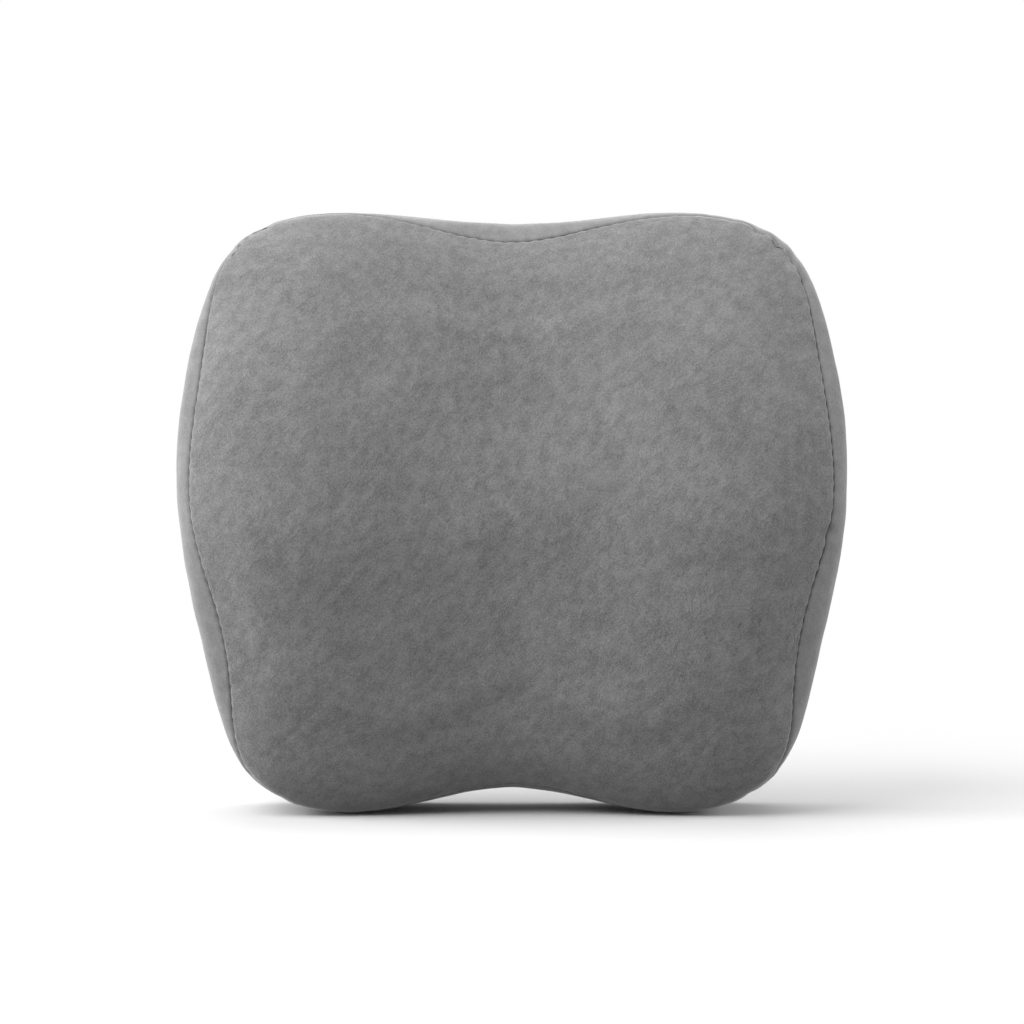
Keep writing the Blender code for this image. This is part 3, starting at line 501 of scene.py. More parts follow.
class CoverForm:
    """The swollen body's surface: the front panel from its middle out to the seam, and the side
    wall from that seam to the one at the back."""

    def __init__(self, settings):
        self.settings = settings
        self.tree, self.filling = filled_body(settings)
        seam_reach, seam_y = ring_profile("cover_front_panel")
        back_reach, _ = ring_profile("cover_gusset", lambda y: y > BACK_Y - 0.6 * MM, False)
        self.seam_reach = smoothed_around(seam_reach, 5)
        self.back_reach = smoothed_around(back_reach, 5)
        seam_y = smoothed_around(seam_y, 9)
        self.spine_reach = self.seam_reach - SPINE_IN
        self.spine_y = (seam_y + BACK_Y) / 2
        self.seam_turn = self.worked_round(np.arctan2(seam_y - self.spine_y, SPINE_IN))
        self.seam = np.array([self.wall_point(i, turn) for i, turn in enumerate(self.seam_turn)])
        self.sample_front()
        self.sample_side()
        self.pull_seams()

    def wall_point(self, i, turn):
        """Where a ray from inside the wall, at one of the angles round it, leaves the body."""
        ray = RAYS[i]
        spine = Vector((MIDDLE[0] + ray[0] * self.spine_reach[i], self.spine_y[i],
                        MIDDLE[2] + ray[1] * self.spine_reach[i]))
        heading = (ray[0] * math.cos(turn), math.sin(turn), ray[1] * math.cos(turn))
        hit = self.tree.ray_cast(spine, Vector(heading))[0]
        if hit is None:
            raise RuntimeError("the filled body is open at the side")
        return np.array(hit)

    def worked_round(self, turns):
        """The seam's turns, moved over the edge by the distances in SEAM_SHIFT."""
        angles, shifts = np.array(SEAM_SHIFT).T
        shift = np.interp(np.degrees(ANGLES), angles, shifts * MM, period=360)
        shift = smoothed_around(shift, 12)
        moved = turns.copy()
        for i, turn in enumerate(turns):
            fan = turn + np.linspace(*FAN)
            travel = path_travel(np.array([self.wall_point(i, t) for t in fan]))
            moved[i] = np.interp(np.interp(turn, fan, travel) + shift[i], travel, fan)
        return smoothed_around(moved, 4)

    def wall_line(self, i, ends, turns, wanted):
        """Points between two ends over the wall, at the wanted shares of the way."""
        line = np.array([ends[0], *[self.wall_point(i, turn) for turn in turns], ends[1]])
        travel = path_travel(line)
        return points_at(line, travel, wanted * travel[-1])

    def depths(self, flat):
        return np.array([front_of(self.tree, x, z) for x, z in flat])

    def sample_front(self):
        shares, places, self.disc_faces, self.disc_edge = disc_grid(DISC)
        rim = place(self.seam_reach, 0.0)[:, (0, 2)]
        centre = MIDDLE[[0, 2]]
        flat = centre + (along_ring(rim, places) - centre) * (shares * DISC_SHARE)[:, None]
        side = 2 * DISC + 1
        depth = self.depths(flat).reshape(side, side)
        inside = np.clip((1 - shares.reshape(side, side)) / 0.15, 0, 1)
        for _ in range(5):
            padded = np.pad(depth, 1, mode="reflect", reflect_type="odd")
            around = (padded[:-2, 1:-1] + padded[2:, 1:-1]
                      + padded[1:-1, :-2] + padded[1:-1, 2:]) / 4
            depth += (around - depth) * 0.66 * inside
        self.disc = np.stack([flat[:, 0], depth.ravel(), flat[:, 1]], axis=1)
        edge = self.disc[self.disc_edge]
        wanted = 1 - np.linspace(1, 0, RIM_RINGS + 1) ** 1.6
        self.rim = np.empty((RIM_RINGS, AROUND, 3))
        for i in range(AROUND):
            out = self.seam_reach[i] * DISC_SHARE - self.spine_reach[i]
            first = math.atan2(edge[i, 1] - self.spine_y[i], out)
            turns = np.linspace(first, self.seam_turn[i], 26)[1:-1]
            self.rim[:, i] = self.wall_line(i, (edge[i], self.seam[i]), turns, wanted)[1:]
        self.rim = smoothed_around(self.rim.transpose(1, 0, 2), 3).transpose(1, 0, 2)
        self.seam = self.rim[-1].copy()

    def sample_side(self):
        """Points down the side wall at each angle, closer together beside the two seams."""
        back = place(self.back_reach, BACK_Y)
        even = np.linspace(0, 1, SIDE_ROWS)
        wanted = even - CLOSER * np.sin(2 * math.pi * even) / (2 * math.pi)
        rows = np.empty((SIDE_ROWS, AROUND, 3))
        for i in range(AROUND):
            last = math.atan2(BACK_Y - self.spine_y[i], self.back_reach[i] - self.spine_reach[i])
            turns = np.linspace(self.seam_turn[i], last, 50)[1:-1]
            rows[:, i] = self.wall_line(i, (self.seam[i], back[i]), turns, wanted)
        rows[1:-1] = smoothed_around(rows.transpose(1, 0, 2), 3).transpose(1, 0, 2)[1:-1]
        rows[0], rows[-1] = self.seam, back
        self.side = rows
        self.side_travel = self.travel(rows)

    @staticmethod
    def travel(rows):
        """How far each point of a grid of rings lies from the first ring, over the surface."""
        steps = np.linalg.norm(np.diff(rows, axis=0), axis=2)
        return np.vstack([np.zeros(rows.shape[1]), np.cumsum(steps, axis=0)])

    def pull_seams(self):
        """Pulls both panels into the seam between them, with its stitches and gathers."""
        s = self.settings
        steps = np.linalg.norm(np.roll(self.seam, -1, axis=0) - self.seam, axis=1)
        arc = np.concatenate([[0], np.cumsum(steps)[:-1]])
        stitches = round(steps.sum() / s.stitch_pitch)
        phase = 2 * math.pi * arc / steps.sum() * stitches
        self.stitch = 0.5 + 0.5 * np.cos(phase + 0.9 * rumple(self.seam, 30 * MM, 2.0))
        uneven = 1 + 0.35 * rumple(self.seam, 25 * MM, 3.0)
        wander = 0.6 + 0.5 * rumple(self.seam, 45 * MM, 4.0)
        pucker = s.pucker * (0.25 + rumple(self.seam, 8 * MM, 1.0) * wander)
        gathers = np.zeros(AROUND)
        for angle, depth, width in GATHERS:
            off = (ANGLES - math.radians(angle) + math.pi) % (2 * math.pi) - math.pi
            bell = np.exp(-0.5 * (off * self.seam_reach / (width / 2 * MM)) ** 2)
            gathers += depth * MM * bell
        rim_normals, side_normals = grid_normals(self.rim), grid_normals(self.side)
        seam_normal = rim_normals[-1] + side_normals[0]
        seam_normal /= np.linalg.norm(seam_normal, axis=1, keepdims=True)
        tight = 0.85 + 0.25 * np.cos(ANGLES)
        depth = s.seam_depth * (0.5 + 0.7 * self.stitch) * uneven * tight
        rim_travel = self.travel(self.rim[::-1])[::-1]
        for rows, normals, travel in ((self.rim, rim_normals, rim_travel),
                                      (self.side, side_normals, self.side_travel)):
            near = np.clip(1 - travel / s.seam_roll, 0, 1)
            into = depth * (1 - np.sqrt(np.clip(1 - near**2, 0, 1)))
            ease = np.exp(-((travel / EASE_REACH) ** 1.5))
            into = into + ease * (pucker + gathers)
            turned = near[:, :, None] ** 2
            heading = normals * (1 - turned) + seam_normal * turned
            heading /= np.linalg.norm(heading, axis=2, keepdims=True)
            fade = np.ones_like(travel)
            if rows is self.side:
                fade = np.clip((travel[-1] - travel) / (10 * MM), 0, 1)
                from_back = travel[-1] - travel
                back = np.clip(1 - from_back / (3 * MM), 0, 1)
                dip = s.back_seam_depth * (1 - np.sqrt(np.clip(1 - back**2, 0, 1)))
                rows -= normals * (dip * (1 + 0.2 * self.stitch))[:, :, None]
            rows -= heading * (into * fade)[:, :, None]
        shared = (self.rim[-1] + self.side[0]) / 2
        self.rim[-1] = self.side[0] = shared

    def front_panel(self):
        """Points and faces of the front panel, with the soft creases of its pile."""
        points = np.concatenate([self.disc, self.rim.reshape(-1, 3)])
        faces = list(self.disc_faces)
        faces += ring_faces(len(self.disc), RIM_RINGS, AROUND, self.disc_edge)
        points[:, 1] -= front_creases(points)
        return points, facing(points, faces, np.tile((0.0, -1.0, 0.0), (len(points), 1)))

    def side_band(self):
        points = self.side.reshape(-1, 3).copy()
        normals = grid_normals(self.side).reshape(-1, 3)
        wave = rumple(points * (1.0, 0.6, 1.0), 34 * MM, 6.0) * 0.45
        wave += rumple(points, 14 * MM, 7.0) * 0.15
        travel = self.side_travel
        fade = np.clip(travel / (8 * MM), 0, 1) * np.clip((travel[-1] - travel) / (8 * MM), 0, 1)
        points += normals * (wave * fade.ravel() * MM)[:, None]
        return points, facing(points, ring_faces(0, SIDE_ROWS, AROUND), normals)


def front_creases(points):
    """How far the pile stands out or sinks in over the front panel, in shallow slanting creases."""
    reach = np.linalg.norm((points - MIDDLE)[:, (0, 2)], axis=1)
    inner = np.clip((CREASE_EDGE - reach) / CREASE_FADE, 0, 1)
    slanted = points @ np.array(((0.74, 0.0, 0.67), (0.0, 1.0, 0.0), (-0.67, 0.0, 0.74)))
    broad = rumple(points, 62 * MM, 8.0) * 0.45
    creases = rumple(slanted * (1.0, 1.0, 0.36), 11 * MM, 9.0) * 0.16
    return (broad + creases) * inner * MM


FORM = {}


def cover_form():
    """The cover's form, worked out once for the operators that need it."""
    if "form" not in FORM:
        FORM["form"] = CoverForm(bpy.context.scene.lumbar_cushion)
    return FORM["form"]


# ---- materials ----

class Tree:
    """Adds nodes to a tree, each with its settings and with values or links for its inputs."""

    def __init__(self, tree):
        self.nodes, self.links = tree.nodes, tree.links

    def add(self, kind, inputs=(), **settings):
        node = self.nodes.new(kind)
        for name, value in settings.items():
            setattr(node, name, value)
        for name, value in dict(inputs).items():
            self.put(node.inputs[name], value)
        return node

    def put(self, socket, value):
        if isinstance(value, bpy.types.NodeSocket):
            self.links.new(value, socket)
        else:
            socket.default_value = value

    def math(self, operation, *values):
        node = self.add("ShaderNodeMath", operation=operation)
        for socket, value in zip(node.inputs, values):
            self.put(socket, value)
        return node.outputs[0]

    def total(self, *terms):
        """The sum of values, each times its weight."""
        parts = [self.math("MULTIPLY", value, weight) for value, weight in terms]
        total = parts[0]
        for part in parts[1:]:
            total = self.math("ADD", total, part)
        return total

    def wave(self, value, pitch):
        """A sine wave of the value that repeats at the pitch."""
        turns = self.math("DIVIDE", value, pitch)
        return self.math("SINE", self.math("MULTIPLY", turns, math.tau))

    def mix(self, share, one, two):
        node = self.add("ShaderNodeMix", data_type="RGBA")
        self.put(node.inputs[0], share)
        self.put(node.inputs[6], one)
        self.put(node.inputs[7], two)
        return node.outputs[2]

    def noise(self, vector, scale, detail=2.0, roughness=0.5, distortion=0.0):
        node = self.add("ShaderNodeTexNoise", {"Vector": vector, "Scale": scale, "Detail": detail,
                                               "Roughness": roughness, "Distortion": distortion})
        return node.outputs[0]

    def stretch(self, value, low, high, to_low=0.0, to_high=1.0):
        node = self.add("ShaderNodeMapRange", {"Value": value, "From Min": low, "From Max": high,
                                               "To Min": to_low, "To Max": to_high})
        return node.outputs[0]

    def turned(self, vector, rotation=(0.0, 0.0, 0.0), scale=(1.0, 1.0, 1.0)):
        node = self.add("ShaderNodeMapping",
                        {"Vector": vector, "Rotation": rotation, "Scale": scale})
        return node.outputs[0]

    def parts(self, vector):
        return self.add("ShaderNodeSeparateXYZ", {"Vector": vector}).outputs


SOCKETS = {"v": "NodeSocketVector", "c": "NodeSocketColor", "f": "NodeSocketFloat"}


def node_group(name, inputs, outputs):
    """A new shader node group: its tree and its inputs by name. Each socket is (name, kind)."""
    group = bpy.data.node_groups.new(name, "ShaderNodeTree")
    for socket, kind in inputs:
        group.interface.new_socket(socket, in_out="INPUT", socket_type=SOCKETS[kind])
    for socket, kind in outputs:
        group.interface.new_socket(socket, in_out="OUTPUT", socket_type=SOCKETS[kind])
    tree = Tree(group)
    source = tree.add("NodeGroupInput")
    sink = tree.add("NodeGroupOutput")
    return group, tree, source.outputs, sink.inputs


def pile_group():
    """Short brushed pile: cloudy patches, slanting streaks of the nap, single fibres, and short
    creases whose colour is darkened with painted shade.
    """
    group, t, given, out = node_group(
        "Brushed pile",
        [("Vector", "v"), ("Colour", "c"), ("Against Nap", "c"), ("Lean", "f"),
         ("Shaded Creases", "f")],
        [("Colour", "c"), ("Height", "f"), ("Roughness", "f")],
    )
    rotation = t.add("ShaderNodeCombineXYZ", {"Y": given["Lean"]}).outputs[0]
    lean = t.add("ShaderNodeVectorRotate", {"Vector": given["Vector"], "Rotation": rotation},
                 rotation_type="EULER_XYZ").outputs[0]
    streaks = t.noise(t.turned(lean, scale=(1.0, 1.0, 0.3)), 640.0, 1.0, 0.5)
    patches = t.noise(t.turned(lean, scale=(1.0, 1.0, 0.8)), 190.0, 1.0, 0.4, 0.3)
    clouds = t.noise(given["Vector"], 21.0, 2.0, 0.5)
    fibres = t.noise(t.turned(lean, scale=(1.0, 1.0, 0.7)), 1500.0, 1.0, 0.7)
    share = t.total((t.stretch(patches, 0.3, 0.7), 0.28), (t.stretch(streaks, 0.3, 0.7), 0.14),
                    (t.stretch(clouds, 0.35, 0.65), 0.14), (t.stretch(fibres, 0.3, 0.7), 0.60))
    share = t.math("SUBTRACT", share, 0.12)
    # The creases darken the colour as painted shade in them, and dent the height further down.
    lines = t.math("MULTIPLY", shaded_crease_mask(t, given["Vector"]), given["Shaded Creases"])
    share = t.math("ADD", share, t.math("MULTIPLY", lines, 0.5))
    share = t.math("MINIMUM", t.math("MAXIMUM", share, 0.0), 1.0)
    t.put(out["Colour"], t.mix(share, given["Colour"], given["Against Nap"]))
    height = t.total((streaks, 0.14), (patches, 0.45), (fibres, 0.22))
    t.put(out["Height"], t.math("SUBTRACT", height, t.math("MULTIPLY", lines, 0.35)))
    t.put(out["Roughness"], t.stretch(patches, 0.3, 0.7, 0.86, 1.0))
    return group


CREASE_SHADE_PLACE = (0.120, 0.0, 0.104)    # where the pile shows short creases with painted shade, and how far they reach
CREASE_SHADE_REACH = 62 * MM


def shaded_crease_mask(t, vector):
    """A mask of short thin creases in the pile, falling to the right, near one place. It is used to
    darken the colour as painted shade in the creases, and to dent the height.
    """
    across = t.turned(vector, (0.0, math.radians(-42), 0.0), (1.0, 1.0, 0.16))
    ridge = t.math("ABSOLUTE", t.math("SUBTRACT", t.noise(across, 300.0, 0.0, 0.5), 0.5))
    thin = t.stretch(ridge, 0.0, 0.05, 1.0, 0.0)
    sparse = t.stretch(t.noise(vector, 75.0, 1.0, 0.5), 0.52, 0.6)
    off = t.add("ShaderNodeVectorMath", {0: vector, 1: CREASE_SHADE_PLACE},
                operation="DISTANCE").outputs["Value"]
    near = t.stretch(off, CREASE_SHADE_REACH * 0.6, CREASE_SHADE_REACH * 1.3, 1.0, 0.0)
    return t.math("MULTIPLY", t.math("MULTIPLY", thin, sparse), near)


def weave_group():
    """Yarns crossing over and under, at a pitch along and a pitch across, with painted shade where
    they dip.
    """
    group, t, given, out = node_group(
        "Woven yarns",
        [("Vector", "v"), ("Colour", "c"), ("Shade", "c"), ("Along", "f"), ("Across", "f"),
         ("Chevron", "f")],
        [("Colour", "c"), ("Height", "f")],
    )
    x, _, z = t.parts(given["Vector"])
    zigzag = t.math("PINGPONG", z, given["Chevron"])
    along = t.wave(t.math("ADD", x, zigzag), given["Along"])
    across = t.wave(z, given["Across"])
    over = t.math("MULTIPLY_ADD", t.math("MULTIPLY", along, across), 0.3, 0.5)
    over = t.math("ADD", over, t.math("MULTIPLY", along, 0.2))
    fuzz = t.noise(given["Vector"], 2600.0, 2.0, 0.6)
    height = t.math("ADD", over, t.math("MULTIPLY", fuzz, 0.35))
    worn = t.noise(given["Vector"], 60.0, 2.0, 0.5)
    # Where the yarns dip, the colour turns to the darker shade colour: painted shade between the
    # yarns. The worn noise adds random lighter patches.
    share = t.math("ADD", t.stretch(height, 0.3, 1.0, 0.0, 0.8),
                   t.stretch(worn, 0.4, 0.7, 0.0, 0.2))
    t.put(out["Colour"], t.mix(share, given["Shade"], given["Colour"]))
    t.put(out["Height"], height)
    return group


def spacer_group():
    """Knitted spacer mesh: staggered round holes through a soft cloth, coloured darker inside them
    as painted shade.
    """
    group, t, given, out = node_group(
        "Spacer mesh", [("Vector", "v"), ("Colour", "c"), ("Shade", "c"), ("Pitch", "f")],
        [("Colour", "c"), ("Height", "f")],
    )
    x, _, z = t.parts(given["Vector"])
    u = t.math("DIVIDE", x, given["Pitch"])
    v = t.math("DIVIDE", z, t.math("MULTIPLY", given["Pitch"], 0.866))
    row = t.math("FLOOR", v)
    u = t.math("ADD", u, t.math("MULTIPLY", t.math("MODULO", t.math("ABSOLUTE", row), 2.0), 0.5))
    du = t.math("SUBTRACT", t.math("FRACT", u), 0.5)
    dv = t.math("SUBTRACT", t.math("FRACT", v), 0.5)
    off = t.math("SQRT", t.math("ADD", t.math("MULTIPLY", du, du), t.math("MULTIPLY", dv, dv)))
    cloth = t.stretch(off, 0.17, 0.33)
    fuzz = t.noise(given["Vector"], 1800.0, 2.0, 0.6)
    clouds = t.noise(given["Vector"], 30.0, 2.0, 0.5)
    height = t.math("ADD", cloth, t.math("MULTIPLY", fuzz, 0.3))
    # The holes take the darker shade colour: painted shade inside them. The clouds and fuzz add
    # random tone.
    share = t.math("MULTIPLY", cloth, t.stretch(clouds, 0.3, 0.7, 0.75, 1.0))
    share = t.math("MULTIPLY", share, t.stretch(fuzz, 0.3, 0.7, 0.7, 1.0))
    t.put(out["Colour"], t.mix(share, given["Shade"], given["Colour"]))
    t.put(out["Height"], height)
    return group


def surface_group():
    """Moulded or plated surface: fine grain, faint smudges and scuffs."""
    group, t, given, out = node_group(
        "Grain and scuffs",
        [("Vector", "v"), ("Colour", "c"), ("Scuffed", "c"), ("Grain", "f"), ("Roughness", "f")],
        [("Colour", "c"), ("Height", "f"), ("Roughness", "f")],
    )
    grain = t.noise(given["Vector"], given["Grain"], 2.0, 0.6)
    smudge = t.noise(given["Vector"], 170.0, 3.0, 0.6, 0.4)
    scratch = t.noise(t.turned(given["Vector"], (0.0, 0.5, 0.0), (1.0, 1.0, 0.06)), 900.0, 2.0, 0.7)
    scuffs = t.math("MULTIPLY", t.stretch(scratch, 0.62, 0.74), t.stretch(smudge, 0.45, 0.65))
    t.put(out["Colour"], t.mix(t.math("MULTIPLY", scuffs, 0.6), given["Colour"], given["Scuffed"]))
    rough = t.math("ADD", given["Roughness"], t.stretch(smudge, 0.3, 0.7, -0.07, 0.09))
    t.put(out["Roughness"], t.math("ADD", rough, t.math("MULTIPLY", scuffs, 0.15)))
    t.put(out["Height"], t.math("SUBTRACT", grain, t.math("MULTIPLY", scuffs, 0.4)))
    return group


GROUP_MAKERS = {"pile": pile_group, "weave": weave_group, "spacer": spacer_group,
                "surface": surface_group}
MADE_GROUPS = {}


def material(name, group, values, bump, shader):
    """A Principled material whose colour, height and roughness come from a node group."""
    found = bpy.data.materials.get(name)
    if found:
        return found
    if group not in MADE_GROUPS:
        MADE_GROUPS[group] = GROUP_MAKERS[group]()
    made = bpy.data.materials.new(name)
    made.use_nodes = True
    t = Tree(made.node_tree)
    principled = made.node_tree.nodes["Principled BSDF"]
    where = t.add("ShaderNodeTexCoord").outputs["Object"]
    pattern = t.add("ShaderNodeGroup", node_tree=MADE_GROUPS[group])
    t.put(pattern.inputs["Vector"], where)
    for socket, value in values.items():
        t.put(pattern.inputs[socket], (*value, 1.0) if isinstance(value, tuple) else value)
    t.put(principled.inputs["Base Color"], pattern.outputs["Colour"])
    if "Roughness" in pattern.outputs:
        t.put(principled.inputs["Roughness"], pattern.outputs["Roughness"])
    relief = t.add("ShaderNodeBump", {"Height": pattern.outputs["Height"], "Distance": bump,
                                      "Strength": 1.0})
    t.put(principled.inputs["Normal"], relief.outputs["Normal"])
    for socket, value in shader.items():
        principled.inputs[socket].default_value = value
    made.diffuse_color = (*values["Colour"], 1.0)
    return made


def rgb(colour_setting):
    return tuple(float(v) for v in colour_setting)


def shade(colour_setting, share):
    """A darker share of a colour."""
    return tuple(float(v) * share for v in colour_setting)


NAP_LEAN = math.radians(-38)            # which way the front panel's pile is brushed
BAND_LEAN = math.radians(12)
PILE_FINISH = {"Sheen Roughness": 0.4, "Specular IOR Level": 0.1}
STRAIGHT = 50 * MM                      # a chevron so wide that the yarns run straight


def pile_material():
    s = bpy.context.scene.lumbar_cushion
    return material("Grey pile", "pile",
                    {"Colour": rgb(s.pile), "Against Nap": rgb(s.pile_dark), "Lean": NAP_LEAN,
                     "Shaded Creases": 1.0}, 0.7 * MM, {"Sheen Weight": 0.7, **PILE_FINISH})


def gusset_material():
    s = bpy.context.scene.lumbar_cushion
    # A lighter colour and a lighter dark share than the front panel's pile, on the same cloth:
    # painted light on the side band.
    return material("Grey pile of the side band", "pile",
                    {"Colour": rgb(s.gusset), "Against Nap": shade(s.gusset, 0.66),
                     "Lean": BAND_LEAN, "Shaded Creases": 0.0}, 0.5 * MM,
                    {"Sheen Weight": 0.5, **PILE_FINISH})


def foam_material():
    return material("Slow-rise foam", "surface",
                    {"Colour": (0.78, 0.74, 0.60), "Scuffed": (0.66, 0.60, 0.46), "Grain": 1400.0,
                     "Roughness": 0.9}, 0.3 * MM, {"Specular IOR Level": 0.2})


def back_material():
    s = bpy.context.scene.lumbar_back
    # The dark share of the cloth colours the spacer mesh's holes: painted shade inside them.
    return material("Grey spacer mesh", "spacer",
                    {"Colour": rgb(s.cloth), "Shade": shade(s.cloth, 0.28), "Pitch": 2.7 * MM},
                    0.5 * MM,
                    {"Roughness": 0.9, "Sheen Weight": 0.2, "Specular IOR Level": 0.2})


def woven(name, dye, yarns, bump, darker=0.45, roughness=0.82):
    """A woven material. yarns holds the pitch along, the pitch across and the chevron, and darker
    is the share of the dye that the painted shade between the yarns takes.
    """
    along, across, chevron = yarns
    return material(name, "weave", {"Colour": rgb(dye), "Shade": shade(dye, darker),
                                    "Along": along, "Across": across, "Chevron": chevron}, bump,
                    {"Roughness": roughness, "Sheen Weight": 0.15, "Specular IOR Level": 0.3})


THREAD_YARNS = (0.5 * MM, 0.5 * MM, 0.25 * MM)


def tape_material():
    dye = bpy.context.scene.lumbar_zip.tape
    return woven("Zip tape", dye, (0.9 * MM, 0.9 * MM, 1.8 * MM), 0.15 * MM)


def webbing_material():
    dye = bpy.context.scene.lumbar_strap.webbing
    return woven("Black webbing", dye, (1.6 * MM, 1.35 * MM, 4.75 * MM), 0.35 * MM)


def elastic_material():
    dye = bpy.context.scene.lumbar_strap.elastic
    return woven("Black elastic", dye, (0.8 * MM, 1.2 * MM, STRAIGHT), 0.25 * MM)


def label_material():
    dye = bpy.context.scene.lumbar_back.label
    return woven("Blank satin label", dye, (0.5 * MM, 0.4 * MM, STRAIGHT), 0.04 * MM, 0.86, 0.5)


def thread_material():
    dye = bpy.context.scene.lumbar_back.thread
    return woven("Grey sewing thread", dye, THREAD_YARNS, 0.06 * MM, 0.6, 0.6)


def strap_thread_material():
    dye = bpy.context.scene.lumbar_strap.thread
    return woven("Black sewing thread", dye, THREAD_YARNS, 0.06 * MM, 0.6, 0.55)


def plastic_material():
    s = bpy.context.scene.lumbar_buckle
    return material("Black moulded plastic", "surface",
                    {"Colour": rgb(s.plastic), "Scuffed": (0.09, 0.09, 0.092), "Grain": 3600.0,
                     "Roughness": 0.46}, 0.06 * MM, {"Specular IOR Level": 0.5})


def coil_material():
    s = bpy.context.scene.lumbar_zip
    return material("Nylon coil", "surface",
                    {"Colour": rgb(s.coil), "Scuffed": (0.2, 0.2, 0.2), "Grain": 5000.0,
                     "Roughness": 0.36},
                    0.02 * MM, {"Specular IOR Level": 0.5})


def metal_material():
    s = bpy.context.scene.lumbar_zip
    return material("Plated metal", "surface",
                    {"Colour": rgb(s.metal), "Scuffed": (0.36, 0.35, 0.33), "Grain": 2600.0,
                     "Roughness": 0.36}, 0.02 * MM, {"Metallic": 1.0})


# ---- operators ----

class LUMBAR_OT_cover(bpy.types.Operator):
    """Make the filling, the front panel and the side band"""
    bl_idname = "lumbar.cover"
    bl_label = "Cushion and cover"
    bl_options = {"REGISTER", "UNDO"}

    def execute(self, context):
        form = cover_form()
        filling = form.filling
        points = coordinates(filling)
        normals = np.array([v.normal for v in filling.vertices])
        set_coordinates(filling, points - normals * FILLING_IN)
        filling.shade_smooth()
        piece = new_object("cushion_filling", filling, "cushion", [foam_material()],
                           ["foam_core", "liner_front", "liner_back"])
        front = new_object("front_panel",
                           thick("front_panel", *form.front_panel(), COVER_THICKNESS),
                           "cushion", [pile_material()], ["cover_front_panel"])
        side = new_object("side_band", thick("side_band", *form.side_band(), COVER_THICKNESS),
                          "cushion", [gusset_material()], ["cover_gusset"])
        return {"FINISHED"}


def clipped_outline(ring, edge, above, count):
    """The ring's part above or below a height, closed by a straight line, as count points, and
    its curved part by itself."""
    sign = 1 if above else -1
    inside = sign * (ring[:, 1] - edge) > 0
    first = next(i for i in range(len(ring)) if inside[i] and not inside[i - 1])
    run = [(first + k) % len(ring) for k in range(int(inside.sum()))]
    before, after = run[0] - 1, (run[-1] + 1) % len(ring)
    ends = []
    for one, two in ((before, run[0]), (after, run[-1])):
        share = (edge - ring[one, 1]) / (ring[two, 1] - ring[one, 1])
        ends.append((ring[one, 0] + (ring[two, 0] - ring[one, 0]) * share, edge))
    lines = np.array([ends[0], *ring[run], ends[1]]), np.array([ends[1], ends[0]])
    travels = [path_travel(line) for line in lines]
    on_curve = round(count * travels[0][-1] / (travels[0][-1] + travels[1][-1]))
    pieces = []
    for line, travel, number in zip(lines, travels, (on_curve, count - on_curve)):
        at = np.linspace(0, travel[-1], number, endpoint=False)
        pieces.append(points_at(line, travel, at))
    return np.concatenate(pieces), pieces[0]


PANEL_DISC = 56                 # rings of the square grid of a back panel, and of its rim
PANEL_RIM = 9
PANEL_THICKNESS = 1.2 * MM
BACK_SEAM_ROLL = 3.2 * MM       # how far from the seam a back panel starts to turn in


def back_panel(name, node, above):
    """Makes one back panel: flat where it lies on the foam, and turned in at its seam."""
    s = bpy.context.scene.lumbar_back
    form = cover_form()
    low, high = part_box(node)
    edge = low.z if above else high.z
    ring = form.side[-1][:, (0, 2)]
    outline, curve = clipped_outline(ring, edge, above, 8 * PANEL_DISC)
    centre = np.array((0.0, (low.z + high.z) / 2 + (0.0 if above else 6 * MM)))
    shares, places, faces, outer = disc_grid(PANEL_DISC)
    flat = centre + (along_ring(outline, places) - centre) * (shares * DISC_SHARE)[:, None]
    rim_shares = 1 - (1 - DISC_SHARE) * np.linspace(1, 0, PANEL_RIM + 1)[1:] ** 1.6
    rim = [centre + (outline - centre) * share for share in rim_shares]
    faces += ring_faces(len(flat), PANEL_RIM, len(outline), outer)
    flat = np.concatenate([flat, *rim])
    off = np.sqrt(((flat[:, None, :] - curve[None, ::2, :]) ** 2).sum(axis=2)).min(axis=1)
    near = np.clip(1 - off / BACK_SEAM_ROLL, 0, 1)
    depth = bpy.context.scene.lumbar_cushion.back_seam_depth * (1 - np.sqrt(1 - near**2))
    points = np.stack([flat[:, 0], np.full(len(flat), BACK_Y), flat[:, 1]], axis=1)
    points[:, 1] += (rumple(points, 48 * MM, 11.0) - 1) * 0.14 * MM - depth
    faces = facing(points, faces, np.tile((0.0, 1.0, 0.0), (len(points), 1)))
    panel = new_object(name, thick(name, points, faces, PANEL_THICKNESS), "cushion",
                       [back_material()], [node])
    return outline


def bar_along_x(name, low, high, radius, step, wave):
    """A rounded flat strip between two corners, with a little waviness in its width."""
    half_y, half_z = (high[1] - low[1]) / 2, (high[2] - low[2]) / 2
    middle_y, middle_z = (high[1] + low[1]) / 2, (high[2] + low[2]) / 2
    section = []
    for corner_y, corner_z, start in ((1, 1, 0), (-1, 1, 90), (-1, -1, 180), (1, -1, 270)):
        for turn in (0, 30, 60, 90):
            angle = math.radians(start + turn)
            section.append((corner_y * (half_y - radius) + radius * math.cos(angle),
                            corner_z * (half_z - radius) + radius * math.sin(angle)))
    stations = np.linspace(low[0], high[0], max(3, round((high[0] - low[0]) / step)))
    points, faces = [], []
    count = len(section)
    for i, x in enumerate(stations):
        bend = wave * noise.noise(Vector((x * 45, middle_z * 30, 3.0)))
        points += [(x, middle_y + y, middle_z + z + bend) for y, z in section]
        if i:
            first = (i - 1) * count
            after = first + count
            faces += [(first + k, first + (k + 1) % count, after + (k + 1) % count, after + k)
                      for k in range(count)]
    faces += [tuple(range(count))[::-1], tuple(range(len(points) - count, len(points)))]
    bm = bmesh.new()
    verts = [bm.verts.new(p) for p in points]
    for face in faces:
        bm.faces.new([verts[k] for k in face])
    return from_bmesh(name, bm)


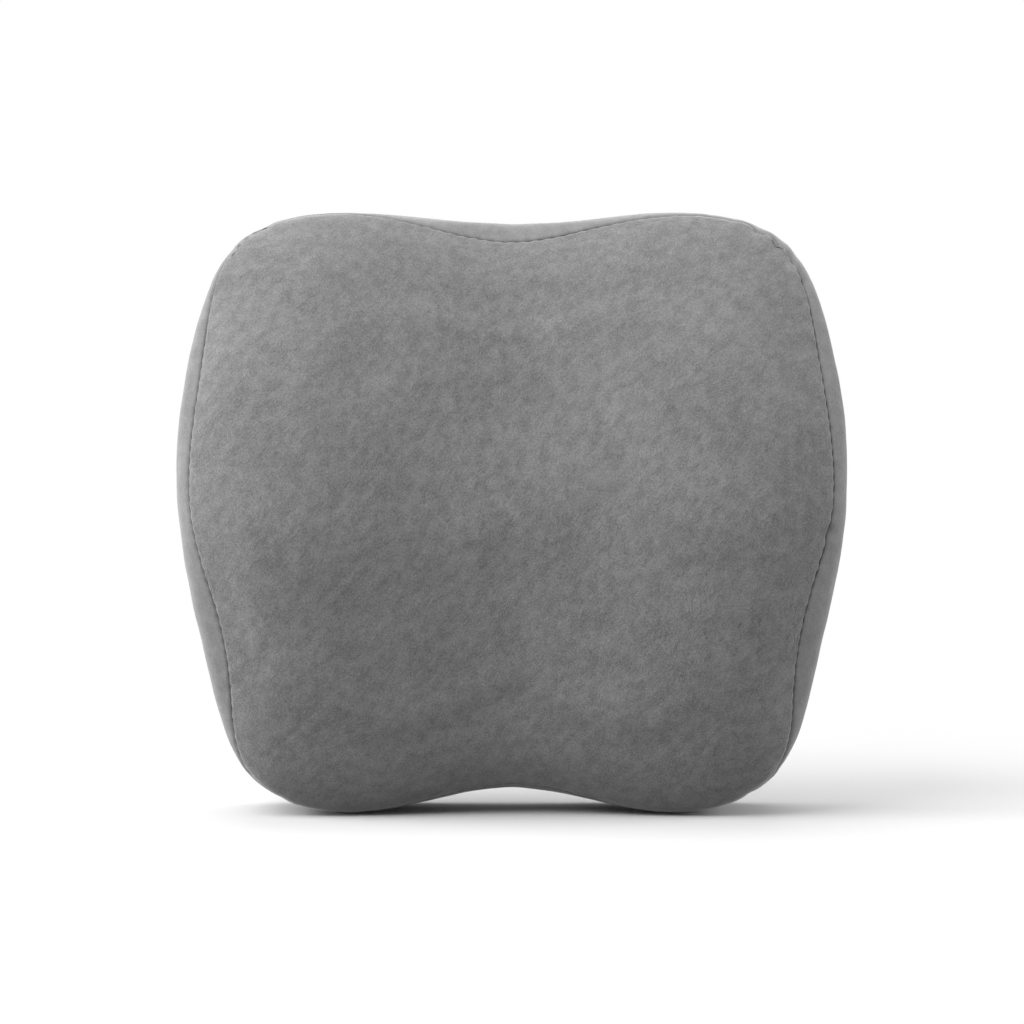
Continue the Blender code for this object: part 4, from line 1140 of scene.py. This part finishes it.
def skin(bm, loops):
    """Faces round a run of closed loops, with both ends closed."""
    for one, two in zip(loops, loops[1:]):
        for k in range(len(one)):
            after = (k + 1) % len(one)
            bm.faces.new((one[k], one[after], two[after], two[k]))
    bm.faces.new(loops[0])
    bm.faces.new(loops[-1])


STITCH_SECTION = 6              # points round the thread
# One stitch from end to end: share of its length, share of its thickness
STITCH_SHAPE = ((0.0, 0.35), (0.12, 0.85), (0.5, 1.0), (0.88, 0.85), (1.0, 0.35))
HEM_THREAD, STRAP_THREAD, LABEL_THREAD = 0.22 * MM, 0.26 * MM, 0.18 * MM      # radii


def stitches(name, line, heights, size, gap, radius):
    """Small rounded stitches along a line of (x, z) corners, at the depths that heights gives."""
    bm = bmesh.new()
    line = [Vector(p) for p in line]
    for start, end in zip(line, line[1:]):
        run = end - start
        number = max(1, round((run.length + gap) / (size + gap)))
        pitch = (run.length + gap) / number
        heading = run.normalized()
        aside = Vector((-heading.y, heading.x))
        for k in range(number):
            one = start + heading * (k * pitch)
            loops = []
            for share, wide in STITCH_SHAPE:
                at = one + heading * ((pitch - gap) * share)
                lift = heights(at) + radius * (0.1 + 0.55 * math.sin(math.pi * share))
                loop = []
                for side in range(STITCH_SECTION):
                    angle = 2 * math.pi * side / STITCH_SECTION
                    across = aside * (radius * wide * math.cos(angle))
                    out = radius * wide * math.sin(angle)
                    loop.append(bm.verts.new((at.x + across.x, lift + out, at.y + across.y)))
                loops.append(loop)
            skin(bm, loops)
    return from_bmesh(name, bm)


def soft_copy(node, step_x, step_z, wander, name):
    """A CAD strip of cloth with more points, and a little wander in them."""
    bm = bmesh.new()
    bm.from_mesh(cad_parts[node].data)
    bmesh.ops.remove_doubles(bm, verts=bm.verts, dist=1e-6)
    low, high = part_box(node)
    for axis, step in ((0, step_x), (2, step_z)):
        normal = [0.0, 0.0, 0.0]
        normal[axis] = 1.0
        for at in np.arange(low[axis] + step, high[axis] - step / 3, step):
            cut = [0.0, 0.0, 0.0]
            cut[axis] = at
            everything = bm.verts[:] + bm.edges[:] + bm.faces[:]
            bmesh.ops.bisect_plane(bm, geom=everything, plane_co=cut, plane_no=normal, dist=1e-7)
    for vert in bm.verts:
        vert.co.y += wander * noise.noise(vert.co / (24 * MM))
        vert.co.z += 0.8 * wander * noise.noise(vert.co / (17 * MM) + Vector((5, 5, 5)))
    mesh = from_bmesh(name, bm)
    mesh.set_sharp_from_angle(angle=math.radians(40))
    return mesh


def top_of(mesh):
    """A function that gives the depth of the mesh's back surface at an (x, z) point."""
    tree = tree_of(mesh)

    def depth(at):
        hit = tree.ray_cast(Vector((at[0], 1.0, at[1])), Vector((0.0, -1.0, 0.0)))[0]
        return hit.y if hit else BACK_Y
    return depth


HEM_UNDER, HEM_OVER = 0.3 * MM, 0.45 * MM      # how far the hem goes into and stands off the cloth
LABEL_CURL = 1.3 * MM                           # how far the label's free end lifts


class LUMBAR_OT_back(bpy.types.Operator):
    """Make the two back panels, their hems along the zip, and the blank label"""
    bl_idname = "lumbar.back"
    bl_label = "Back panels and label"
    bl_options = {"REGISTER", "UNDO"}

    def execute(self, context):
        s = context.scene.lumbar_back
        for side, above in (("upper", True), ("lower", False)):
            outline = back_panel("back_cloth_" + side, "back_panel_" + side, above)
            edge = outline[:, 1].min() if above else outline[:, 1].max()
            reach = np.abs(outline[np.abs(outline[:, 1] - edge) < 1e-6][:, 0]).max() - 3 * MM
            sign = 1 if above else -1
            low_z, high_z = sorted((edge, edge + sign * s.hem))
            mesh = bar_along_x("zip_hem_" + side, (-reach, BACK_Y - HEM_UNDER, low_z),
                               (reach, BACK_Y + HEM_OVER, high_z), 0.35 * MM, 3 * MM, 0.25 * MM)
            new_object("zip_hem_" + side, mesh, "cushion", [back_material()])
            line_z = edge + sign * (s.hem - 1.6 * MM)
            line = [(-reach + 2 * MM, line_z), (reach - 2 * MM, line_z)]
            name = "zip_hem_stitches_" + side
            sewn = stitches(name, line, lambda at: BACK_Y + 0.4 * MM, 2.6 * MM, 0.7 * MM,
                            HEM_THREAD)
            new_object(name, sewn, "cushion", [thread_material()])
        low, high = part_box("care_label")
        label = soft_copy("care_label", 2 * MM, 2 * MM, 0.05 * MM, "blank_label")
        points = coordinates(label)
        curl = np.clip((high.z - 6 * MM - points[:, 2]) / (high.z - low.z), 0, 1)
        points[:, 1] += LABEL_CURL * curl**2 * (1 + 0.5 * np.sin((points[:, 0] - low.x) * 160))
        set_coordinates(label, points)
        new_object("blank_label", label, "cushion", [label_material()], ["care_label"])
        line = [(low.x + 1 * MM, high.z - 2 * MM), (high.x - 1 * MM, high.z - 2 * MM)]
        sewn = stitches("label_stitches", line, top_of(label), 2.0 * MM, 0.7 * MM, LABEL_THREAD)
        new_object("label_stitches", sewn, "cushion", [thread_material()])
        return {"FINISHED"}


# Half a coil turn, from its head by the channel outwards, in mm: how far out, half its width and
# half its height
COIL_TURN = ((0.52, 0.10, 0.28), (0.60, 0.40, 0.74), (0.90, 0.48, 0.94), (1.20, 0.33, 0.98),
             (1.60, 0.27, 0.98), (2.85, 0.29, 0.96), (3.12, 0.24, 0.78), (3.24, 0.10, 0.30))
COIL_SECTION = 8                # points round the coil's nylon
COIL_END = 0.6 * MM             # from the end of the tape to the first turn


def coil_mesh(name, node, side):
    """The turns of one side of the zip's coil."""
    s = bpy.context.scene.lumbar_zip
    low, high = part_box(node)
    middle_y = (low.y + high.y) / 2
    zip_z = (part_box("zip_coil_upper")[0].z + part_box("zip_coil_lower")[1].z) / 2
    turns = int((high.x - low.x - 2 * COIL_END) / s.pitch)
    first = low.x + COIL_END + (s.pitch / 2 if side < 0 else 0.0)
    bm = bmesh.new()
    for k in range(turns):
        x = first + k * s.pitch
        loops = []
        for out, wide, tall in COIL_TURN:
            loop = []
            for step in range(COIL_SECTION):
                angle = 2 * math.pi * step / COIL_SECTION
                loop.append(bm.verts.new((x + wide * MM * math.cos(angle) + 0.06 * MM * out,
                                          middle_y + tall * MM * math.sin(angle),
                                          zip_z + side * out * MM)))
            loops.append(loop)
        skin(bm, loops)
    return from_bmesh(name, bm)


def finish_cad(node, finish, edge):
    """A CAD piece that stays: its material, and small rounded edges."""
    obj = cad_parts[node]
    obj.data.materials.clear()
    obj.data.materials.append(finish)
    weld = obj.modifiers.new("Weld", "WELD")
    weld.merge_threshold = 0.01 * MM
    bevel = obj.modifiers.new("Moulded edges", "BEVEL")
    bevel.width = edge
    bevel.segments = 3
    bevel.limit_method = "ANGLE"
    bevel.angle_limit = math.radians(28)
    bevel.harden_normals = False
    obj.data.shade_smooth()
    smooth = obj.modifiers.new("Even shading", "WEIGHTED_NORMAL")
    smooth.keep_sharp = False


STOP_EDGE, SLIDER_EDGE = 0.08 * MM, 0.1 * MM


class LUMBAR_OT_zip(bpy.types.Operator):
    """Make the zip's tapes and coils, and finish its slider, pull tab and stops"""
    bl_idname = "lumbar.zip"
    bl_label = "Zip"
    bl_options = {"REGISTER", "UNDO"}

    def execute(self, context):
        for side, sign in (("upper", 1), ("lower", -1)):
            name = "zip_woven_tape_" + side
            tape = soft_copy("zip_tape_" + side, 6 * MM, 2 * MM, 0.05 * MM, name)
            new_object(name, tape, "cushion", [tape_material()], ["zip_tape_" + side])
            name = "zip_nylon_coil_" + side
            coil = coil_mesh(name, "zip_coil_" + side, sign)
            new_object(name, coil, "cushion", [coil_material()], ["zip_coil_" + side])
        for node in ("zip_top_stop_upper", "zip_top_stop_lower", "zip_bottom_stop"):
            finish_cad(node, metal_material(), STOP_EDGE)
        for node in ("zip_slider", "zip_pull_tab"):
            finish_cad(node, metal_material(), SLIDER_EDGE)
        return {"FINISHED"}


# CAD node, piece, body and slot
WEBBING_PIECES = (
    ("strap_fixed", "webbing_fixed", "cushion", "webbing"),
    ("strap_adjustable", "webbing_adjustable", "cushion", "webbing"),
    ("strap_tail", "webbing_tail", "plug", "webbing"),
    ("strap_keeper", "elastic_keeper", "keeper", "elastic"),
)


FOLD_STITCH = 51.5 * MM, 69.5 * MM      # the doubled part of the fixed strap that is sewn together
END_STITCH = 2.5 * MM, 10.5 * MM        # from the strap's end
STITCH_IN = 4 * MM                      # from the strap's edges


class LUMBAR_OT_strap(bpy.types.Operator):
    """Make the webbing, its keeper and the stitched ends"""
    bl_idname = "lumbar.strap"
    bl_label = "Strap"
    bl_options = {"REGISTER", "UNDO"}

    def execute(self, context):
        s = context.scene.lumbar_strap
        made = {}
        for node, name, body, slot in WEBBING_PIECES:
            fine = node == "strap_keeper"
            step, wander = (1 * MM, 0.03 * MM) if fine else (3 * MM, 0.1 * MM)
            mesh = soft_copy(node, step, 2.4 * MM, wander, name)
            finish = elastic_material() if fine else webbing_material()
            made[node] = new_object(name, mesh, body, [finish], [node])
        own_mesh(made["strap_adjustable"])
        self.sew_ends(made, s)
        return {"FINISHED"}

    def sew_ends(self, made, s):
        """Box stitches with a cross, where the webbing is sewn to the cover or is doubled."""
        low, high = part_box("strap_fixed")
        near, far = (high.x - share for share in END_STITCH)
        bottom, top = low.z + STITCH_IN, high.z - STITCH_IN
        places = {
            "strap_end_stitches_right": ("strap_fixed", far, near),
            "strap_end_stitches_left": ("strap_adjustable", -near, -far),
            "strap_fold_stitches": ("strap_fixed", *FOLD_STITCH),
        }
        for name, (node, left, right) in places.items():
            box = [(left, bottom), (right, bottom), (right, top), (left, top), (left, bottom)]
            heights = top_of(made[node].data)
            bm = bmesh.new()
            for line in ([*box, (right, top)], [(left, top), (right, bottom)]):
                bm.from_mesh(stitches(name, line, heights, s.stitch, 0.8 * MM, STRAP_THREAD))
            new_object(name, from_bmesh(name, bm), "cushion", [strap_thread_material()])


RIB_SECTION = 8                             # points round a rib
RIB_PITCH, RIB_HALF_WIDTH, RIB_HEIGHT = 1.15 * MM, 0.34 * MM, 0.30 * MM
RIB_END, RIB_FULL = 0.5 * MM, 0.9 * MM      # from the arm's faces to a rib's end and full size
RIBS_FROM_TIP = 11.4 * MM


class LUMBAR_OT_buckle(bpy.types.Operator):
    """Finish the buckle's socket, plug and latch arms, and add the ribs that the fingers press"""
    bl_idname = "lumbar.buckle"
    bl_label = "Buckle"
    bl_options = {"REGISTER", "UNDO"}

    def execute(self, context):
        s = context.scene.lumbar_buckle
        for node in ("buckle_socket", "buckle_plug", "latch_arm_upper", "latch_arm_lower"):
            finish_cad(node, plastic_material(), s.edge)
        for side in ("upper", "lower"):
            name = "latch_ribs_" + side
            new_object(name, self.ribs_mesh(name, side, s.ribs), "arm_" + side,
                       [plastic_material()])
        return {"FINISHED"}

    def ribs_mesh(self, name, side, count):
        """Round ribs across the pad of one latch arm."""
        low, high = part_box("latch_arm_" + side)
        face = high.z if side == "upper" else low.z
        ends = ((low.y + RIB_END, 0.5), (low.y + RIB_FULL, 1.0),
                (high.y - RIB_FULL, 1.0), (high.y - RIB_END, 0.5))
        bm = bmesh.new()
        for k in range(count):
            x = high.x - RIBS_FROM_TIP + (k - (count - 1) / 2) * RIB_PITCH
            loops = []
            for y, wide in ends:
                loop = []
                for step in range(RIB_SECTION):
                    angle = 2 * math.pi * step / RIB_SECTION
                    loop.append(bm.verts.new((x + RIB_HALF_WIDTH * wide * math.cos(angle), y,
                                              face + RIB_HEIGHT * wide * math.sin(angle))))
                loops.append(loop)
            skin(bm, loops)
        return from_bmesh(name, bm)


FLOOR_RADIUS = 9.0
FLOOR_CLEAR = 0.30, 0.65     # how far from the cushion the floor starts and ends its fade to white
WHITE = 1.0                  # how bright the backdrop is
FLOOR_BOUNCE = 0.42          # how much of its light the floor throws back up
# Each lamp's place, width and share of the key's power
LAMPS = {
    "key": ((-1.05, -0.95, 1.4), 1.8, 1.0),
    "overhead": ((0.0, 0.45, 1.6), 1.6, 0.3),
    "left": ((-1.7, 0.0, 0.45), 1.4, 0.8),
    "right": ((1.7, 0.1, 0.45), 1.4, 0.6),
}


def floor_material(pale):
    made = bpy.data.materials.new("Pale floor")
    made.use_nodes = True
    t = Tree(made.node_tree)
    where = t.add("ShaderNodeTexCoord").outputs["Object"]
    far = t.add("ShaderNodeVectorMath", {0: where}, operation="LENGTH").outputs["Value"]
    fade = t.add("ShaderNodeMapRange",
                 {"Value": far, "From Min": FLOOR_CLEAR[0], "From Max": FLOOR_CLEAR[1]},
                 interpolation_type="SMOOTHSTEP").outputs[0]
    speck = t.noise(where, 260.0, 3.0, 0.6)
    principled = made.node_tree.nodes["Principled BSDF"]
    seen = t.mix(t.stretch(speck, 0.3, 0.7, 0.0, 0.02), (*pale, 1.0), (*shade(pale, 0.9), 1.0))
    bounced = t.add("ShaderNodeLightPath").outputs["Is Diffuse Ray"]
    dimmer = (*shade(pale, FLOOR_BOUNCE), 1.0)
    t.put(principled.inputs["Base Color"], t.mix(bounced, seen, dimmer))
    principled.inputs["Roughness"].default_value = 0.85
    principled.inputs["Specular IOR Level"].default_value = 0.1
    glow = t.math("SUBTRACT", WHITE, t.math("MULTIPLY", bounced, 1.0 - FLOOR_BOUNCE))
    white = t.add("ShaderNodeEmission",
                  {"Color": (1.0, 1.0, 1.0, 1.0), "Strength": glow}).outputs[0]
    mixed = t.add("ShaderNodeMixShader", {0: fade, 1: principled.outputs[0], 2: white})
    t.put(made.node_tree.nodes["Material Output"].inputs["Surface"], mixed.outputs[0])
    return made


class LUMBAR_OT_stage(bpy.types.Operator):
    """Make the floor, the soft lights and the camera"""
    bl_idname = "lumbar.stage"
    bl_label = "Floor, lights and camera"
    bl_options = {"REGISTER", "UNDO"}

    def execute(self, context):
        s = context.scene.lumbar_stage
        bm = bmesh.new()
        bmesh.ops.create_circle(bm, cap_ends=True, radius=FLOOR_RADIUS, segments=96)
        floor = new_object("floor", from_bmesh("floor", bm, smooth=False), None,
                           [floor_material(rgb(s.floor))])
        floor.location.z = CAD_LOW.z
        world = context.scene.world or bpy.data.worlds.new("World")
        context.scene.world = world
        world.use_nodes = True
        world.node_tree.nodes.clear()
        t = Tree(world.node_tree)
        camera_ray = t.add("ShaderNodeLightPath").outputs["Is Camera Ray"]
        strength = t.math("ADD", t.math("MULTIPLY", camera_ray, WHITE - s.fill), s.fill)
        sky = t.add("ShaderNodeBackground", {"Color": (1.0, 1.0, 1.0, 1.0), "Strength": strength})
        t.add("ShaderNodeOutputWorld", {"Surface": sky.outputs[0]})
        centre = Vector(MIDDLE)
        for name, (place, width, share) in LAMPS.items():
            self.light(name, place, width, s.key * share, centre)
        camera = bpy.data.objects.new("camera", bpy.data.cameras.new("camera"))
        context.scene.collection.objects.link(camera)
        context.scene.camera = camera
        camera.data.lens = camera.data.sensor_width / 2 / (s.across / 2 / s.distance)
        away = Vector((0.0, -math.cos(s.elevation), math.sin(s.elevation)))
        camera.location = centre + away * s.distance
        camera.rotation_euler = (-away).to_track_quat("-Z", "Y").to_euler()
        context.scene.view_settings.view_transform = "Standard"
        return {"FINISHED"}

    def light(self, name, place, size, power, aim):
        """A round lamp of soft light that faces the aim."""
        data = bpy.data.lights.new(name, "AREA")
        data.shape = "DISK"
        data.size = size
        data.energy = power
        lamp = bpy.data.objects.new(name, data)
        bpy.context.scene.collection.objects.link(lamp)
        lamp.location = place
        lamp.rotation_euler = (aim - Vector(place)).to_track_quat("-Z", "Y").to_euler()


OPERATORS = (LUMBAR_OT_cover, LUMBAR_OT_back, LUMBAR_OT_zip, LUMBAR_OT_strap, LUMBAR_OT_buckle,
             LUMBAR_OT_stage)


class LUMBAR_PT_panel(bpy.types.Panel):
    """Settings and steps of the lumbar cushion"""
    bl_label = "Lumbar cushion"
    bl_idname = "LUMBAR_PT_panel"
    bl_space_type = "VIEW_3D"
    bl_region_type = "UI"
    bl_category = "Cushion"

    def draw(self, context):
        for (name, group), step in zip(GROUPS.items(), OPERATORS):
            column = self.layout.box().column()
            for setting in group.__annotations__:
                column.prop(getattr(context.scene, name), setting)
            column.operator(step.bl_idname)


def register():
    for group in GROUPS.values():
        bpy.utils.register_class(group)
    for name, group in GROUPS.items():
        setattr(bpy.types.Scene, name, bpy.props.PointerProperty(type=group))
    for step in (*OPERATORS, LUMBAR_PT_panel):
        bpy.utils.register_class(step)


def unregister():
    for step in reversed((*OPERATORS, LUMBAR_PT_panel)):
        bpy.utils.unregister_class(step)
    for name in GROUPS:
        delattr(bpy.types.Scene, name)
    for group in reversed(GROUPS.values()):
        bpy.utils.unregister_class(group)


def main():
    """Makes everything in order."""
    register()
    bpy.ops.lumbar.cover()
    bpy.ops.lumbar.back()
    bpy.ops.lumbar.zip()
    bpy.ops.lumbar.strap()
    bpy.ops.lumbar.buckle()
    bpy.ops.lumbar.stage()


if __name__ == "__main__":
    main()
